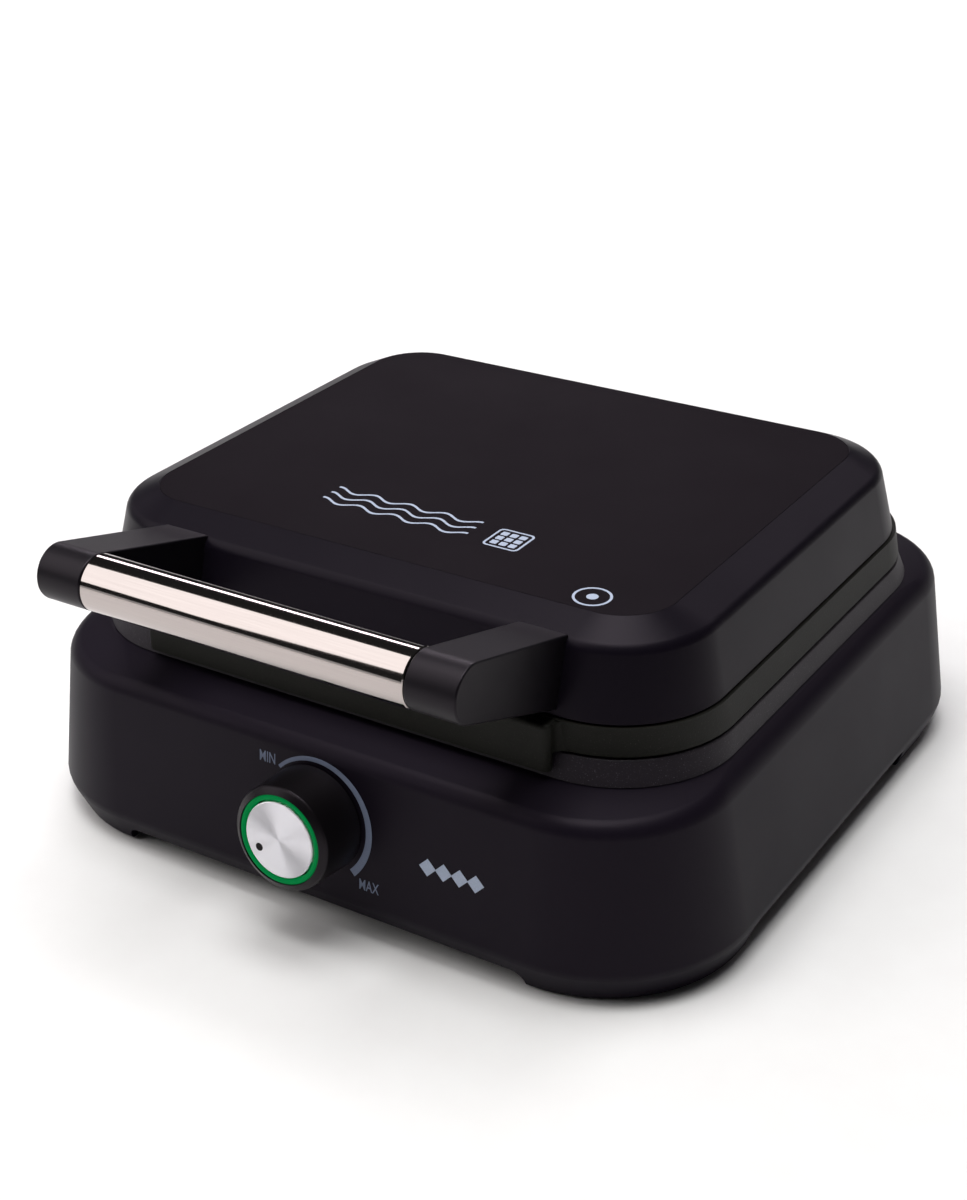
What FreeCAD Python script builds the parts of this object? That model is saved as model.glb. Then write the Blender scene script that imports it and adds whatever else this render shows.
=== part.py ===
"""Table-top waffle maker: base with a heat knob, hinged lid with a bar handle.

Millimetres, +Z up, +X to the right when facing the knob, front towards -Y.
The pieces are modelled around the middle of the base and then moved along Y,
so that the origin is under the middle of the whole closed appliance.
"""
import math
import os
from collections import namedtuple

import FreeCAD
import Part

Vec = FreeCAD.Vector
Section = namedtuple("Section", "z half_x half_y corner centre_y")

# ---------------------------------------------------------------- housings
FOOT = Section(0.8, 135.5, 130.8, 51.5, 0.0)
SKIRT = Section(12.4, 140.0, 135.5, 54.0, 0.0)
SHOULDER = Section(65.6, 132.0, 130.1, 46.7, 0.0)
RIM = Section(69.0, 126.3, 111.6, 43.0, 0.0)
LOWER_BAND_TOP = Section(77.4, 124.0, 107.7, 42.4, 0.0)
UPPER_BAND_LOW = Section(78.0, 124.0, 107.9, 42.4, 0.0)
UPPER_BAND_TOP = Section(89.2, 122.8, 106.2, 39.6, -2.2)
LID_LOW = Section(89.8, 122.0, 104.7, 38.9, -2.9)
LID_CREASE = Section(113.9, 116.9, 98.5, 34.3, -2.9)
LID_TOP = Section(119.4, 104.2, 86.1, 19.8, -2.9)

WALL = 3.0                    # moulded housings
LEDGE_OPENING = Section(69.0, 115.0, 93.0, 14.0, 0.0)
FRONT_ARCH = (-84.0, 84.0, 6.8, 5.0)    # from, to, height, corner
SIDE_ARCH = (-75.0, 58.0, 10.2, 6.0)
PANEL_THICK = 1.8
PANEL_GAP = 0.25

# ------------------------------------------------------------ feet and cover
FOOT_AT = (109.0, 104.0)
FOOT_RADIUS = 10.0
FOOT_HOLE = 5.4
COVER_Z = 9.0
COVER_THICK = 2.5
FOOT_BOSS_TOP = 30.0
SCREW_RADIUS = 2.0
HEAD_RADIUS = 3.9
HEAD_HEIGHT = 2.0

# ------------------------------------------------------------ cooking plates
PLATE_WALL = 3.2
CAVITY_X = 56.0               # middle of each waffle mould, either side
CAVITY_FLOOR = (50.0, 84.0, 6.0)        # half width, half depth, corner
CAVITY_MOUTH = (52.0, 86.0, 8.0)
CAVITY_DEPTH = 14.0
STUD_COLUMNS = 4
STUD_ROWS = 7
STUD_PITCH = (25.0, 24.0)
STUD_BASE = 7.2
STUD_TIP = 5.4
STUD_HEIGHT = 8.0
FLOOR_GAP = 0.05
GROOVE = (119.5, 103.3, 2.0, 1.0)       # half width, half depth, width, depth
PLATE_SCREW_AT = (60.0, 96.0)
PLATE_BOSS = 4.3
LIP_HALF_X = 82.5
LIP_FRONT = -114.0
LIP_BACK = -110.9
LIP_BOTTOM = 72.0
LIP_CORNER = 2.4

# --------------------------------------------------------- heating elements
ELEMENT_RADIUS = 3.2
ELEMENT_HALF = (80.0, 55.0)
ELEMENT_BEND = 24.0
ELEMENT_GAP = 14.0
SHIELD_HALF = (108.0, 84.0)
SHIELD_DROP = 14.0
SHIELD_THICK = 0.8

# ------------------------------------------------------------------- hinge
HINGE_Y = 120.0
HINGE_Z = 82.0
HINGE_X = 75.0
KNUCKLE_RADIUS = 6.5
KNUCKLE_HALF = 7.5
EAR_RADIUS = 7.0
EAR_GAP = 0.5
EAR_THICK = 5.0
PIN_RADIUS = 2.5
RUNNING = 0.06                # radial clearance of a turning fit

# ------------------------------------------------------------------ handle
BAR_Y = -154.6
BAR_Z = 120.9
BAR_RADIUS = 9.8
BAR_WALL = 1.2
ARM_INNER = 63.0
ARM_OUTER = 81.5
ARM_TOP_SLOPE = 16.0
ARM_BOTTOM_SLOPE = 21.5
SPIGOT = 6.0
TIE_ROD_RADIUS = 2.5

# -------------------------------------------------------------------- knob
KNOB_X = 2.6
KNOB_Z = 39.8
KNOB_GAP = 1.0
KNOB_BASE_RADIUS = 19.3
KNOB_RADIUS = 18.8
KNOB_LENGTH = 20.2
KNOB_CHAMFER = (16.2, 17.0)   # front radius, where the rounding starts
RING_OUTER = 15.9
RING_INNER = 13.7
DISC_RADIUS = 13.6
SHAFT_RADIUS = 3.0
SHAFT_BACK = -19.0
THERMOSTAT_BACK = -24.0
CONTROL_SEAT = 3.3            # depth of the fittings that stand behind the front wall
BOARD_THICK = 1.6

# ------------------------------------------------------------- cord inlet
GLAND_X = 78.0
GLAND_Z = 30.0
GLAND_BORE = 3.6
GLAND_RADIUS = 7.0
GLAND_FLANGE = 9.5
REAR = 139.6                  # outermost face of the gland


# ================================================================== shapes
def outline(section):
    """Rounded rectangle, drawn as four straight sides and four arcs."""
    x, y, r = section.half_x, section.half_y, section.corner
    z, cy = section.z, section.centre_y
    diagonal = r * math.sqrt(0.5)
    edges = []
    for sx, sy in ((1, 1), (-1, 1), (-1, -1), (1, -1)):
        centre = Vec(sx * (x - r), cy + sy * (y - r), z)
        side = centre + Vec(sx * r, 0, 0)
        mid = centre + Vec(sx * diagonal, sy * diagonal, 0)
        end = centre + Vec(0, sy * r, 0)
        arc = (side, mid, end) if sx * sy > 0 else (end, mid, side)
        if edges:
            edges.append(Part.LineSegment(edges[-1].Vertexes[-1].Point, arc[0]).toShape())
        edges.append(Part.Arc(*arc).toShape())
    start = edges[0].Vertexes[0].Point
    edges.append(Part.LineSegment(edges[-1].Vertexes[-1].Point, start).toShape())
    return Part.Wire(edges)


def loft(*sections):
    """Solid with straight sides between rounded rectangles."""
    rising = sorted(sections, key=lambda section: section.z)
    return Part.makeLoft([outline(section) for section in rising], True, True)


def inset(section, amount, z=None):
    return Section(section.z if z is None else z, section.half_x - amount,
                   section.half_y - amount, max(section.corner - amount, 1.0),
                   section.centre_y)


def between(low, high, z):
    """Section of the straight wall between two sections, at height z."""
    t = (z - low.z) / (high.z - low.z)
    mixed = [a + (b - a) * t for a, b in zip(low, high)]
    return Section(*mixed)


def box(low, high):
    size = Vec(*high) - Vec(*low)
    return Part.makeBox(size.x, size.y, size.z, Vec(*low))


def cylinder(radius, start, direction, length):
    return Part.makeCylinder(radius, length, Vec(*start), Vec(*direction))


def fuse(shapes):
    return shapes[0].multiFuse(shapes[1:]).removeSplitter()


def turned(profile):
    """Solid of revolution about Z from (radius, height) points."""
    points = [Vec(radius, 0, height) for radius, height in profile]
    face = Part.Face(Part.makePolygon(points + points[:1]))
    return face.revolve(Vec(0, 0, 0), Vec(0, 0, 1), 360)


def prism_x(points, x_from, x_to):
    """Extrude a (y, z) polygon along X."""
    corners = [Vec(x_from, y, z) for y, z in points]
    face = Part.Face(Part.makePolygon(corners + corners[:1]))
    return face.extrude(Vec(x_to - x_from, 0, 0))


def corners(at):
    return [(sx * at[0], sy * at[1]) for sx in (-1, 1) for sy in (-1, 1)]


def knob_placed(shape):
    """Move a shape made along +Z onto the knob axis, square to the front wall."""
    placed = shape.copy()
    placed.Placement = knob_placement.multiply(placed.Placement)
    return placed


wall_tilt = math.atan2(SKIRT.half_y - SHOULDER.half_y, SHOULDER.z - SKIRT.z)
knob_normal = Vec(0, -math.cos(wall_tilt), math.sin(wall_tilt))
knob_y = -between(SKIRT, SHOULDER, KNOB_Z).half_y
knob_placement = FreeCAD.Placement(Vec(KNOB_X, knob_y, KNOB_Z),
                                   FreeCAD.Rotation(Vec(0, 0, 1), knob_normal))

base_outer = loft(FOOT, SKIRT, SHOULDER, RIM)
lid_outer = loft(LID_LOW, LID_CREASE, LID_TOP)
lower_back = LOWER_BAND_TOP.z - CAVITY_DEPTH - PLATE_WALL
upper_back = UPPER_BAND_LOW.z + CAVITY_DEPTH + PLATE_WALL


# ============================================================ base housing
def arch_cuts():
    """Low arches that leave a foot at each corner of the skirt."""
    low, high, height, corner = FRONT_ARCH
    cuts = []
    long_arch = box((low, -150, -5), (high, 150, height))
    edges = [e for e in long_arch.Edges if abs(e.Length - 300) < 0.1 and e.BoundBox.ZMin > 0]
    cuts.append(long_arch.makeFillet(corner, edges))
    low, high, height, corner = SIDE_ARCH
    side_arch = box((-150, low, -5), (150, high, height))
    edges = [e for e in side_arch.Edges if abs(e.Length - 300) < 0.1 and e.BoundBox.ZMin > 0]
    cuts.append(side_arch.makeFillet(corner, edges))
    return cuts


def foot_boss(x, y):
    """Screw boss over each foot, tied to the corner wall by a rib."""
    height = FOOT_BOSS_TOP - COVER_Z - COVER_THICK
    start = (x, y, COVER_Z + COVER_THICK)
    boss = cylinder(5.0, start, (0, 0, 1), height)
    rib = Part.makeBox(24.0, 3.0, height, Vec(0, -1.5, 0))
    rib.rotate(Vec(0, 0, 0), Vec(0, 0, 1), math.degrees(math.atan2(y, x)))
    rib.translate(Vec(*start))
    return boss.fuse(rib.common(base_outer))


def base_housing():
    hollow = loft(inset(FOOT, WALL, -1.0), inset(SKIRT, WALL), inset(SHOULDER, WALL, 62.6),
                  inset(RIM, WALL + 1.0, RIM.z - WALL))
    mouth = loft(LEDGE_OPENING._replace(z=60.0), LEDGE_OPENING._replace(z=72.0))
    shell = base_outer.cut(fuse([hollow, mouth]))
    bosses = [foot_boss(x, y) for x, y in corners(FOOT_AT)]
    flange_under = LOWER_BAND_TOP.z - PLATE_WALL
    for x, y in corners(PLATE_SCREW_AT):
        bosses.append(cylinder(PLATE_BOSS, (x, y, 48.0), (0, 0, 1), flange_under - 48.0))
    shell = fuse([shell] + bosses)
    holes = arch_cuts()
    for x, y in corners(FOOT_AT):
        holes.append(cylinder(SCREW_RADIUS, (x, y, 5.0), (0, 0, 1), 21.0))
    for x, y in corners(PLATE_SCREW_AT):
        holes.append(cylinder(SCREW_RADIUS, (x, y, 52.0), (0, 0, 1), 30.0))
    holes.append(knob_placed(cylinder(5.4, (0, 0, -6), (0, 0, 1), 8.0)))
    for x, y in led_places():
        holes.append(knob_placed(cylinder(2.2, (x, y, -6), (0, 0, 1), 8.0)))
    holes.append(cylinder(GLAND_RADIUS, (GLAND_X, 110, GLAND_Z), (0, 1, 0), 40.0))
    return shell.cut(fuse(holes))


def bottom_cover():
    low = between(FOOT, SKIRT, COVER_Z)
    high = between(FOOT, SKIRT, COVER_Z + COVER_THICK)
    plate = loft(inset(low, WALL + 0.4), inset(high, WALL + 0.4))
    holes = [cylinder(SCREW_RADIUS, (x, y, 0), (0, 0, 1), 20.0) for x, y in corners(FOOT_AT)]
    for row in range(-3, 4):
        for side in (-1, 1):
            middle = side * 42.0
            holes.append(box((middle - 22, row * 14 - 1.6, 0), (middle + 22, row * 14 + 1.6, 20)))
    return plate.cut(fuse(holes))


def rubber_feet():
    half = turned([(FOOT_HOLE, 0), (FOOT_RADIUS - 1, 0), (FOOT_RADIUS, 1),
                   (FOOT_RADIUS, COVER_Z), (FOOT_HOLE, COVER_Z)])
    return Part.makeCompound([half.translated(Vec(x, y, 0)) for x, y in corners(FOOT_AT)])


def screw(length, head_radius=HEAD_RADIUS, head_height=HEAD_HEIGHT):
    """Pan head screw pointing up +Z, head underside at z = 0."""
    slot = box((-head_radius, -0.4, -head_height), (head_radius, 0.4, -head_height + 0.8))
    cross = slot.fuse(slot.rotated(Vec(0, 0, 0), Vec(0, 0, 1), 90))
    head = turned([(0, 0), (head_radius, 0), (head_radius, 0.7 - head_height),
                   (head_radius - 0.7, -head_height), (0, -head_height)])
    shank = cylinder(SCREW_RADIUS, (0, 0, 0), (0, 0, 1), length)
    return head.fuse(shank).cut(cross.common(box((-2.4, -2.4, -9), (2.4, 2.4, 0))))


def base_screws():
    one = screw(17.0)
    return Part.makeCompound([one.translated(Vec(x, y, COVER_Z)) for x, y in corners(FOOT_AT)])


# ========================================================== cooking plates
def plate_frame(face, band, sign):
    """Cast frame round two waffle moulds; sign is the way its back points."""
    floor_z = face.z + sign * CAVITY_DEPTH
    back_z = floor_z + sign * PLATE_WALL
    inner_z = face.z + sign * PLATE_WALL
    far_z = band.z + sign * 1.0
    hollow = loft(inset(between(face, band, inner_z), PLATE_WALL),
                  inset(between(face, band, far_z), PLATE_WALL))
    half_x, half_y, corner = CAVITY_MOUTH
    walls = []
    moulds = []
    for side in (-1, 1):
        shift = Vec(side * CAVITY_X, 0, 0)
        wall = Section(face.z, half_x + PLATE_WALL, half_y + PLATE_WALL, corner + PLATE_WALL, 0.0)
        walls.append(loft(wall, wall._replace(z=back_z)).translated(shift))
        mouth = Section(face.z - sign * 0.01, half_x, half_y, corner, 0.0)
        floor = Section(floor_z, *CAVITY_FLOOR, 0.0)
        moulds.append(loft(mouth, floor).translated(shift))
        moulds.append(loft(floor, floor._replace(z=back_z + sign)).translated(shift))
    groove_x, groove_y, width, depth = GROOVE
    channel = Section(face.z - sign * 0.01, groove_x, groove_y, 38.0, 0.0)
    ring = loft(channel, channel._replace(z=face.z + sign * depth))
    cuts = [ring.cut(loft(inset(channel, width), inset(channel, width, face.z + sign * depth)))]
    for x, y in corners(PLATE_SCREW_AT):
        cuts.append(cylinder(SCREW_RADIUS + 0.2, (x, y, face.z), (0, 0, sign), PLATE_WALL))
        cuts.append(cylinder(HEAD_RADIUS + 0.3, (x, y, face.z), (0, 0, sign), 1.7))
    return fuse([loft(face, band).cut(hollow)] + walls).cut(fuse(moulds + cuts))


def mould_floor(face, sign, side):
    """Floor of one mould with its rows of tapered studs."""
    floor_z = face.z + sign * CAVITY_DEPTH
    shift = Vec(side * CAVITY_X, 0, 0)
    slab = inset(Section(floor_z, *CAVITY_FLOOR, 0.0), FLOOR_GAP)
    base = Section(floor_z + sign * 0.5, STUD_BASE, STUD_BASE, 1.5, 0.0)
    stud = loft(base, Section(floor_z - sign * STUD_HEIGHT, STUD_TIP, STUD_TIP, 1.5, 0.0))
    pieces = [loft(slab, slab._replace(z=floor_z + sign * PLATE_WALL)).translated(shift)]
    for column in range(STUD_COLUMNS):
        for row in range(STUD_ROWS):
            x = (column - (STUD_COLUMNS - 1) / 2) * STUD_PITCH[0]
            y = (row - (STUD_ROWS - 1) / 2) * STUD_PITCH[1]
            pieces.append(stud.translated(shift + Vec(x, y, 0)))
    return fuse(pieces)


def upper_plate_frame():
    """The upper plate also carries the lip that covers the front of the joint."""
    plate = plate_frame(UPPER_BAND_LOW, UPPER_BAND_TOP, 1)
    lip = box((-LIP_HALF_X, LIP_FRONT, LIP_BOTTOM), (LIP_HALF_X, LIP_BACK, UPPER_BAND_TOP.z))
    ends = [e for e in lip.Edges
            if abs(e.Length - (UPPER_BAND_TOP.z - LIP_BOTTOM)) < 0.1 and e.BoundBox.YMax < LIP_BACK - 1]
    lip = lip.makeFillet(LIP_CORNER, ends)
    root = box((-LIP_HALF_X + 1, LIP_BACK - 0.5, UPPER_BAND_LOW.z),
               (LIP_HALF_X - 1, 1 - UPPER_BAND_LOW.half_y, UPPER_BAND_TOP.z))
    return fuse([plate, lip, root])


def plate_screws(face_z, sign):
    one = screw(16.0, head_height=1.4)
    if sign < 0:
        one = one.rotated(Vec(0, 0, 0), Vec(1, 0, 0), 180)
    seat = face_z + sign * 1.7
    return Part.makeCompound([one.translated(Vec(x, y, seat)) for x, y in corners(PLATE_SCREW_AT)])


# ======================================================= heating elements
def heating_element(z):
    """Tubular element: one planar loop with a gap at the rear for its terminals."""
    half_x, half_y = ELEMENT_HALF
    bend = ELEMENT_BEND
    diagonal = bend * math.sqrt(0.5)
    edges = []
    last = Vec(-ELEMENT_GAP, half_y, z)
    for sx, sy in ((-1, 1), (-1, -1), (1, -1), (1, 1)):
        centre = Vec(sx * (half_x - bend), sy * (half_y - bend), z)
        on_x = centre + Vec(0, sy * bend, 0)
        on_y = centre + Vec(sx * bend, 0, 0)
        mid = centre + Vec(sx * diagonal, sy * diagonal, 0)
        first, final = (on_x, on_y) if sx * sy < 0 else (on_y, on_x)
        edges.append(Part.LineSegment(last, first).toShape())
        edges.append(Part.Arc(first, mid, final).toShape())
        last = final
    edges.append(Part.LineSegment(last, Vec(ELEMENT_GAP, half_y, z)).toShape())
    start = Vec(-ELEMENT_GAP, half_y, z)
    ring = Part.Wire(Part.makeCircle(ELEMENT_RADIUS, start, Vec(-1, 0, 0)))
    tube = Part.Wire(edges).makePipeShell([ring], True, True)
    pins = []
    for side in (-1, 1):
        pins.append(cylinder(1.5, (side * (ELEMENT_GAP + 1), half_y, z), (-side, 0, 0), 9.0))
        x = side * (ELEMENT_GAP - 9.0)
        pins.append(box((x - 3, half_y - 3.2, z - 0.4), (x + 3, half_y + 3.2, z + 0.4)))
    return fuse([tube] + pins)


def element_clamps(back_z, sign):
    """Saddle straps that hold the element against the back of the plate."""
    strap_z = back_z + sign * (2 * ELEMENT_RADIUS)
    half_x, half_y = ELEMENT_HALF
    clamps = []
    for sx in (-1, 1):
        for sy in (-1, 1):
            x, y = sx * 45.0, sy * half_y
            z_low, z_high = sorted((strap_z, strap_z + sign * 1.2))
            strap = box((x - 5, y - 11, z_low), (x + 5, y + 11, z_high))
            legs = [cylinder(2.4, (x, y + dy, back_z), (0, 0, sign), 2 * ELEMENT_RADIUS + 0.1)
                    for dy in (-8, 8)]
            heads = [cylinder(3.2, (x, y + dy, strap_z + sign * 1.1), (0, 0, sign), 1.8)
                     for dy in (-8, 8)]
            clamps.append(fuse([strap] + legs + heads))
    return Part.makeCompound(clamps)


def heat_shield(back_z, sign):
    """Thin steel pan behind the element, on four posts."""
    half_x, half_y = SHIELD_HALF
    far = back_z + sign * SHIELD_DROP
    near = far - sign * 8.0
    outer = Section(far, half_x, half_y, 12.0, 0.0)
    pan = loft(outer, outer._replace(z=near))
    pocket = inset(outer, SHIELD_THICK)
    pan = pan.cut(loft(pocket._replace(z=far - sign * SHIELD_THICK),
                       pocket._replace(z=near - sign * 1.0)))
    posts = [cylinder(3.0, (x, y, back_z), (0, 0, sign), SHIELD_DROP - 0.4)
             for x, y in corners((98.0, 74.0))]
    return fuse([pan] + posts)


# ================================================================= hinge
def hinge_bracket(side):
    """Pair of ears standing on the rear shoulder of the base."""
    half = KNUCKLE_HALF + EAR_GAP + EAR_THICK
    x_from = side * HINGE_X - half
    ears = cylinder(EAR_RADIUS, (x_from, HINGE_Y, HINGE_Z), (1, 0, 0), 2 * half)
    stand = box((x_from, HINGE_Y - EAR_RADIUS, 60), (x_from + 2 * half, HINGE_Y + EAR_RADIUS, HINGE_Z))
    slot_half = KNUCKLE_HALF + EAR_GAP
    slot = box((side * HINGE_X - slot_half, HINGE_Y - 20, HINGE_Z - 8.5),
               (side * HINGE_X + slot_half, HINGE_Y + 20, HINGE_Z + 20))
    bore = cylinder(PIN_RADIUS, (x_from - 1, HINGE_Y, HINGE_Z), (1, 0, 0), 2 * half + 2)
    return ears.fuse(stand).removeSplitter().cut(fuse([slot, bore])).cut(base_outer)


def hinge_pin(side):
    half = KNUCKLE_HALF + EAR_GAP + EAR_THICK
    shaft = cylinder(PIN_RADIUS, (side * HINGE_X - half, HINGE_Y, HINGE_Z), (1, 0, 0), 2 * half)
    x_head = side * HINGE_X + side * half
    head = cylinder(PIN_RADIUS + 1.3, (x_head, HINGE_Y, HINGE_Z), (side, 0, 0), 1.2)
    return shaft.fuse(head)


def lid_hinge_arm(side):
    """Knuckle on the pin, with a web forward to the rear wall of the lid."""
    x_from = side * HINGE_X - KNUCKLE_HALF
    x_to = side * HINGE_X + KNUCKLE_HALF
    y, z, r = HINGE_Y, HINGE_Z, KNUCKLE_RADIUS
    web = prism_x([(y, z + r), (y - 10, z + 15), (y - 26, z + 15), (y - 26, z + 8.4),
                   (y - 13.4, z + 8.4), (y - 10.6, z + 1.6), (y - r + 0.4, z - 1.0), (y, z - r)],
                  x_from, x_to)
    knuckle = cylinder(r, (x_from, y, z), (1, 0, 0), 2 * KNUCKLE_HALF)
    bore = cylinder(PIN_RADIUS + RUNNING, (x_from - 1, y, z), (1, 0, 0), 2 * KNUCKLE_HALF + 2)
    pilots = [hinge_screw(side, dx) for dx in (-4, 4)]
    return fuse([web, knuckle]).cut(bore).cut(lid_outer).cut(fuse(pilots))


def hinge_screw(side, dx):
    """Screw from inside the lid, through its rear wall into the hinge arm."""
    one = screw(12.0, head_height=1.8).rotated(Vec(0, 0, 0), Vec(1, 0, 0), -90)
    wall = between(LID_LOW, LID_CREASE, HINGE_Z + 11.5)
    inside = wall.centre_y + wall.half_y - WALL - 0.8
    return one.translated(Vec(side * HINGE_X + dx, inside, HINGE_Z + 11.5))


def hinge_screws():
    return Part.makeCompound([hinge_screw(side, dx) for side in (-1, 1) for dx in (-4, 4)])


# ==================================================================== lid
def handle_screw(side, z):
    one = screw(14.0, head_height=1.8).rotated(Vec(0, 0, 0), Vec(1, 0, 0), 90)
    wall = between(LID_LOW, LID_CREASE, z)
    inside = wall.centre_y - wall.half_y + WALL + 0.9
    return one.translated(Vec(side * (ARM_INNER + ARM_OUTER) / 2, inside, z))


def handle_screws():
    return Part.makeCompound([handle_screw(side, z) for side in (-1, 1) for z in (99.0, 108.0)])


def lid_housing():
    hollow = loft(inset(LID_LOW, WALL, LID_LOW.z - 1), inset(LID_CREASE, WALL, LID_CREASE.z - 1.2),
                  inset(LID_TOP, WALL, LID_TOP.z - PANEL_THICK - 2.4))
    seat = loft(inset(LID_TOP, PANEL_GAP, LID_TOP.z - PANEL_THICK),
                inset(LID_TOP, PANEL_GAP, LID_TOP.z + 1))
    window = loft(inset(LID_TOP, 8.0, LID_TOP.z - 6), inset(LID_TOP, 8.0, LID_TOP.z + 1))
    shell = lid_outer.cut(fuse([hollow, seat, window]))
    flange_top = UPPER_BAND_LOW.z + PLATE_WALL
    bosses = []
    for x, y in corners(PLATE_SCREW_AT):
        post = cylinder(PLATE_BOSS, (x, y, flange_top), (0, 0, 1), 32.0)
        below = cylinder(PLATE_BOSS, (x, y, flange_top), (0, 0, 1), LID_LOW.z - flange_top)
        bosses.append(post.common(lid_outer).fuse(below))
    holes = [cylinder(SCREW_RADIUS, (x, y, flange_top - 1), (0, 0, 1), 18.0)
             for x, y in corners(PLATE_SCREW_AT)]
    holes += [handle_screw(side, z) for side in (-1, 1) for z in (99.0, 108.0)]
    holes += [hinge_screw(side, dx) for side in (-1, 1) for dx in (-4, 4)]
    return fuse([shell] + bosses).cut(fuse(holes))


def lid_top_panel():
    edge = inset(LID_TOP, 2 * PANEL_GAP)
    return loft(edge, edge._replace(z=LID_TOP.z - PANEL_THICK))


# ================================================================= handle
def handle_arm(side):
    """Arm from the front wall of the lid, ending in a nose round the bar."""
    top = math.radians(ARM_TOP_SLOPE)
    bottom = math.radians(ARM_BOTTOM_SLOPE)
    start = math.pi / 2 - top
    end = 3 * math.pi / 2 - bottom
    x = side * ARM_INNER

    def on_nose(angle):
        return Vec(x, BAR_Y + BAR_RADIUS * math.cos(angle), BAR_Z + BAR_RADIUS * math.sin(angle))

    above, below = on_nose(start), on_nose(end)
    reach = -96.0
    top_root = Vec(x, reach, above.z - (reach - above.y) * math.tan(top))
    low_root = Vec(x, reach, below.z - (reach - below.y) * math.tan(bottom))
    edges = [Part.LineSegment(top_root, above).toShape(),
             Part.Arc(above, on_nose((start + end) / 2), below).toShape(),
             Part.LineSegment(below, low_root).toShape(),
             Part.LineSegment(low_root, top_root).toShape()]
    arm = Part.Face(Part.Wire(edges)).extrude(Vec(side * (ARM_OUTER - ARM_INNER), 0, 0))
    spigot = cylinder(BAR_RADIUS - BAR_WALL - 0.1, (x + side, BAR_Y, BAR_Z), (-side, 0, 0), SPIGOT + 1)
    socket = cylinder(TIE_ROD_RADIUS, (x - side * 8, BAR_Y, BAR_Z), (side, 0, 0), 20.0)
    screws = [handle_screw(side, z) for z in (99.0, 108.0)]
    clear = loft(LID_LOW._replace(z=LID_LOW.z - 6), LID_LOW)
    return fuse([arm, spigot]).cut(fuse([lid_outer, clear])).cut(fuse([socket] + screws))


def handle_bar():
    outer = cylinder(BAR_RADIUS, (-ARM_INNER, BAR_Y, BAR_Z), (1, 0, 0), 2 * ARM_INNER)
    inner = cylinder(BAR_RADIUS - BAR_WALL, (-ARM_INNER, BAR_Y, BAR_Z), (1, 0, 0), 2 * ARM_INNER)
    return outer.cut(inner)


def handle_tie_rod():
    half = ARM_INNER + 12.0
    return cylinder(TIE_ROD_RADIUS, (-half, BAR_Y, BAR_Z), (1, 0, 0), 2 * half)


# =================================================================== knob
def knob_body():
    """Hollow round knob with a recessed front and a socket for the shaft."""
    front, start = KNOB_CHAMFER
    seat = KNOB_LENGTH - 3.2
    body = turned([(0, seat - 2.0), (0, seat), (RING_OUTER + 0.1, seat), (RING_OUTER + 0.1, KNOB_LENGTH - 0.2),
                   (front, KNOB_LENGTH - 0.2), (KNOB_RADIUS - 0.8, start + 1.2), (KNOB_RADIUS, start),
                   (KNOB_BASE_RADIUS, KNOB_GAP), (KNOB_BASE_RADIUS - 2.0, KNOB_GAP),
                   (KNOB_RADIUS - 2.2, seat - 2.0)])
    hub = cylinder(6.0, (0, 0, KNOB_GAP + 2), (0, 0, 1), seat - KNOB_GAP - 3)
    socket = cylinder(SHAFT_RADIUS, (0, 0, 0), (0, 0, 1), seat - 2.5)
    flat = box((-9, 2.2, 4.0), (9, 9, seat))
    bore = socket.cut(flat)
    return knob_placed(body.fuse(hub).removeSplitter().cut(bore))


def knob_light_ring():
    seat = KNOB_LENGTH - 3.2
    return knob_placed(turned([(RING_INNER, seat), (RING_OUTER, seat), (RING_OUTER, KNOB_LENGTH - 0.5),
                               (RING_OUTER - 0.5, KNOB_LENGTH), (RING_INNER, KNOB_LENGTH)]))


def knob_face_disc():
    seat = KNOB_LENGTH - 3.2
    return knob_placed(turned([(0, seat), (DISC_RADIUS, seat), (DISC_RADIUS, KNOB_LENGTH - 0.4),
                               (DISC_RADIUS - 0.4, KNOB_LENGTH), (0, KNOB_LENGTH)]))


def thermostat_shaft():
    end = KNOB_LENGTH - 5.7
    shaft = cylinder(SHAFT_RADIUS, (0, 0, SHAFT_BACK), (0, 0, 1), end - SHAFT_BACK)
    flat = box((-9, 2.2, 4.0), (9, 9, end))
    return knob_placed(shaft.cut(flat))


# ================================================== controls inside the base
def led_places():
    return [(11.5 * math.cos(math.radians(a)), 11.5 * math.sin(math.radians(a))) for a in (90, 210, 330)]


def led_board():
    """Ring-shaped circuit board with three lamps that light the knob ring."""
    back = -CONTROL_SEAT - BOARD_THICK
    board = turned([(6.4, back), (15.5, back), (15.5, -CONTROL_SEAT), (6.4, -CONTROL_SEAT)])
    dome_start = -CONTROL_SEAT + 1.6
    lamps = []
    for x, y in led_places():
        lamp = cylinder(1.9, (x, y, -CONTROL_SEAT - 0.2), (0, 0, 1), 1.8)
        dome = Part.makeSphere(1.9, Vec(x, y, dome_start))
        lamps.append(lamp.fuse(dome.common(box((-30, -30, dome_start), (30, 30, 5)))))
    return knob_placed(fuse([board] + lamps))


def thermostat_bracket():
    plate = box((-22, -13, -8.0), (22, 13, -6.6))
    legs = [box((x, -13, -6.6), (x + 1.4, 13, -CONTROL_SEAT)) for x in (-22, 20.6)]
    hole = cylinder(5.0, (0, 0, -10), (0, 0, 1), 6.0)
    return knob_placed(fuse([plate] + legs).cut(hole))


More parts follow.
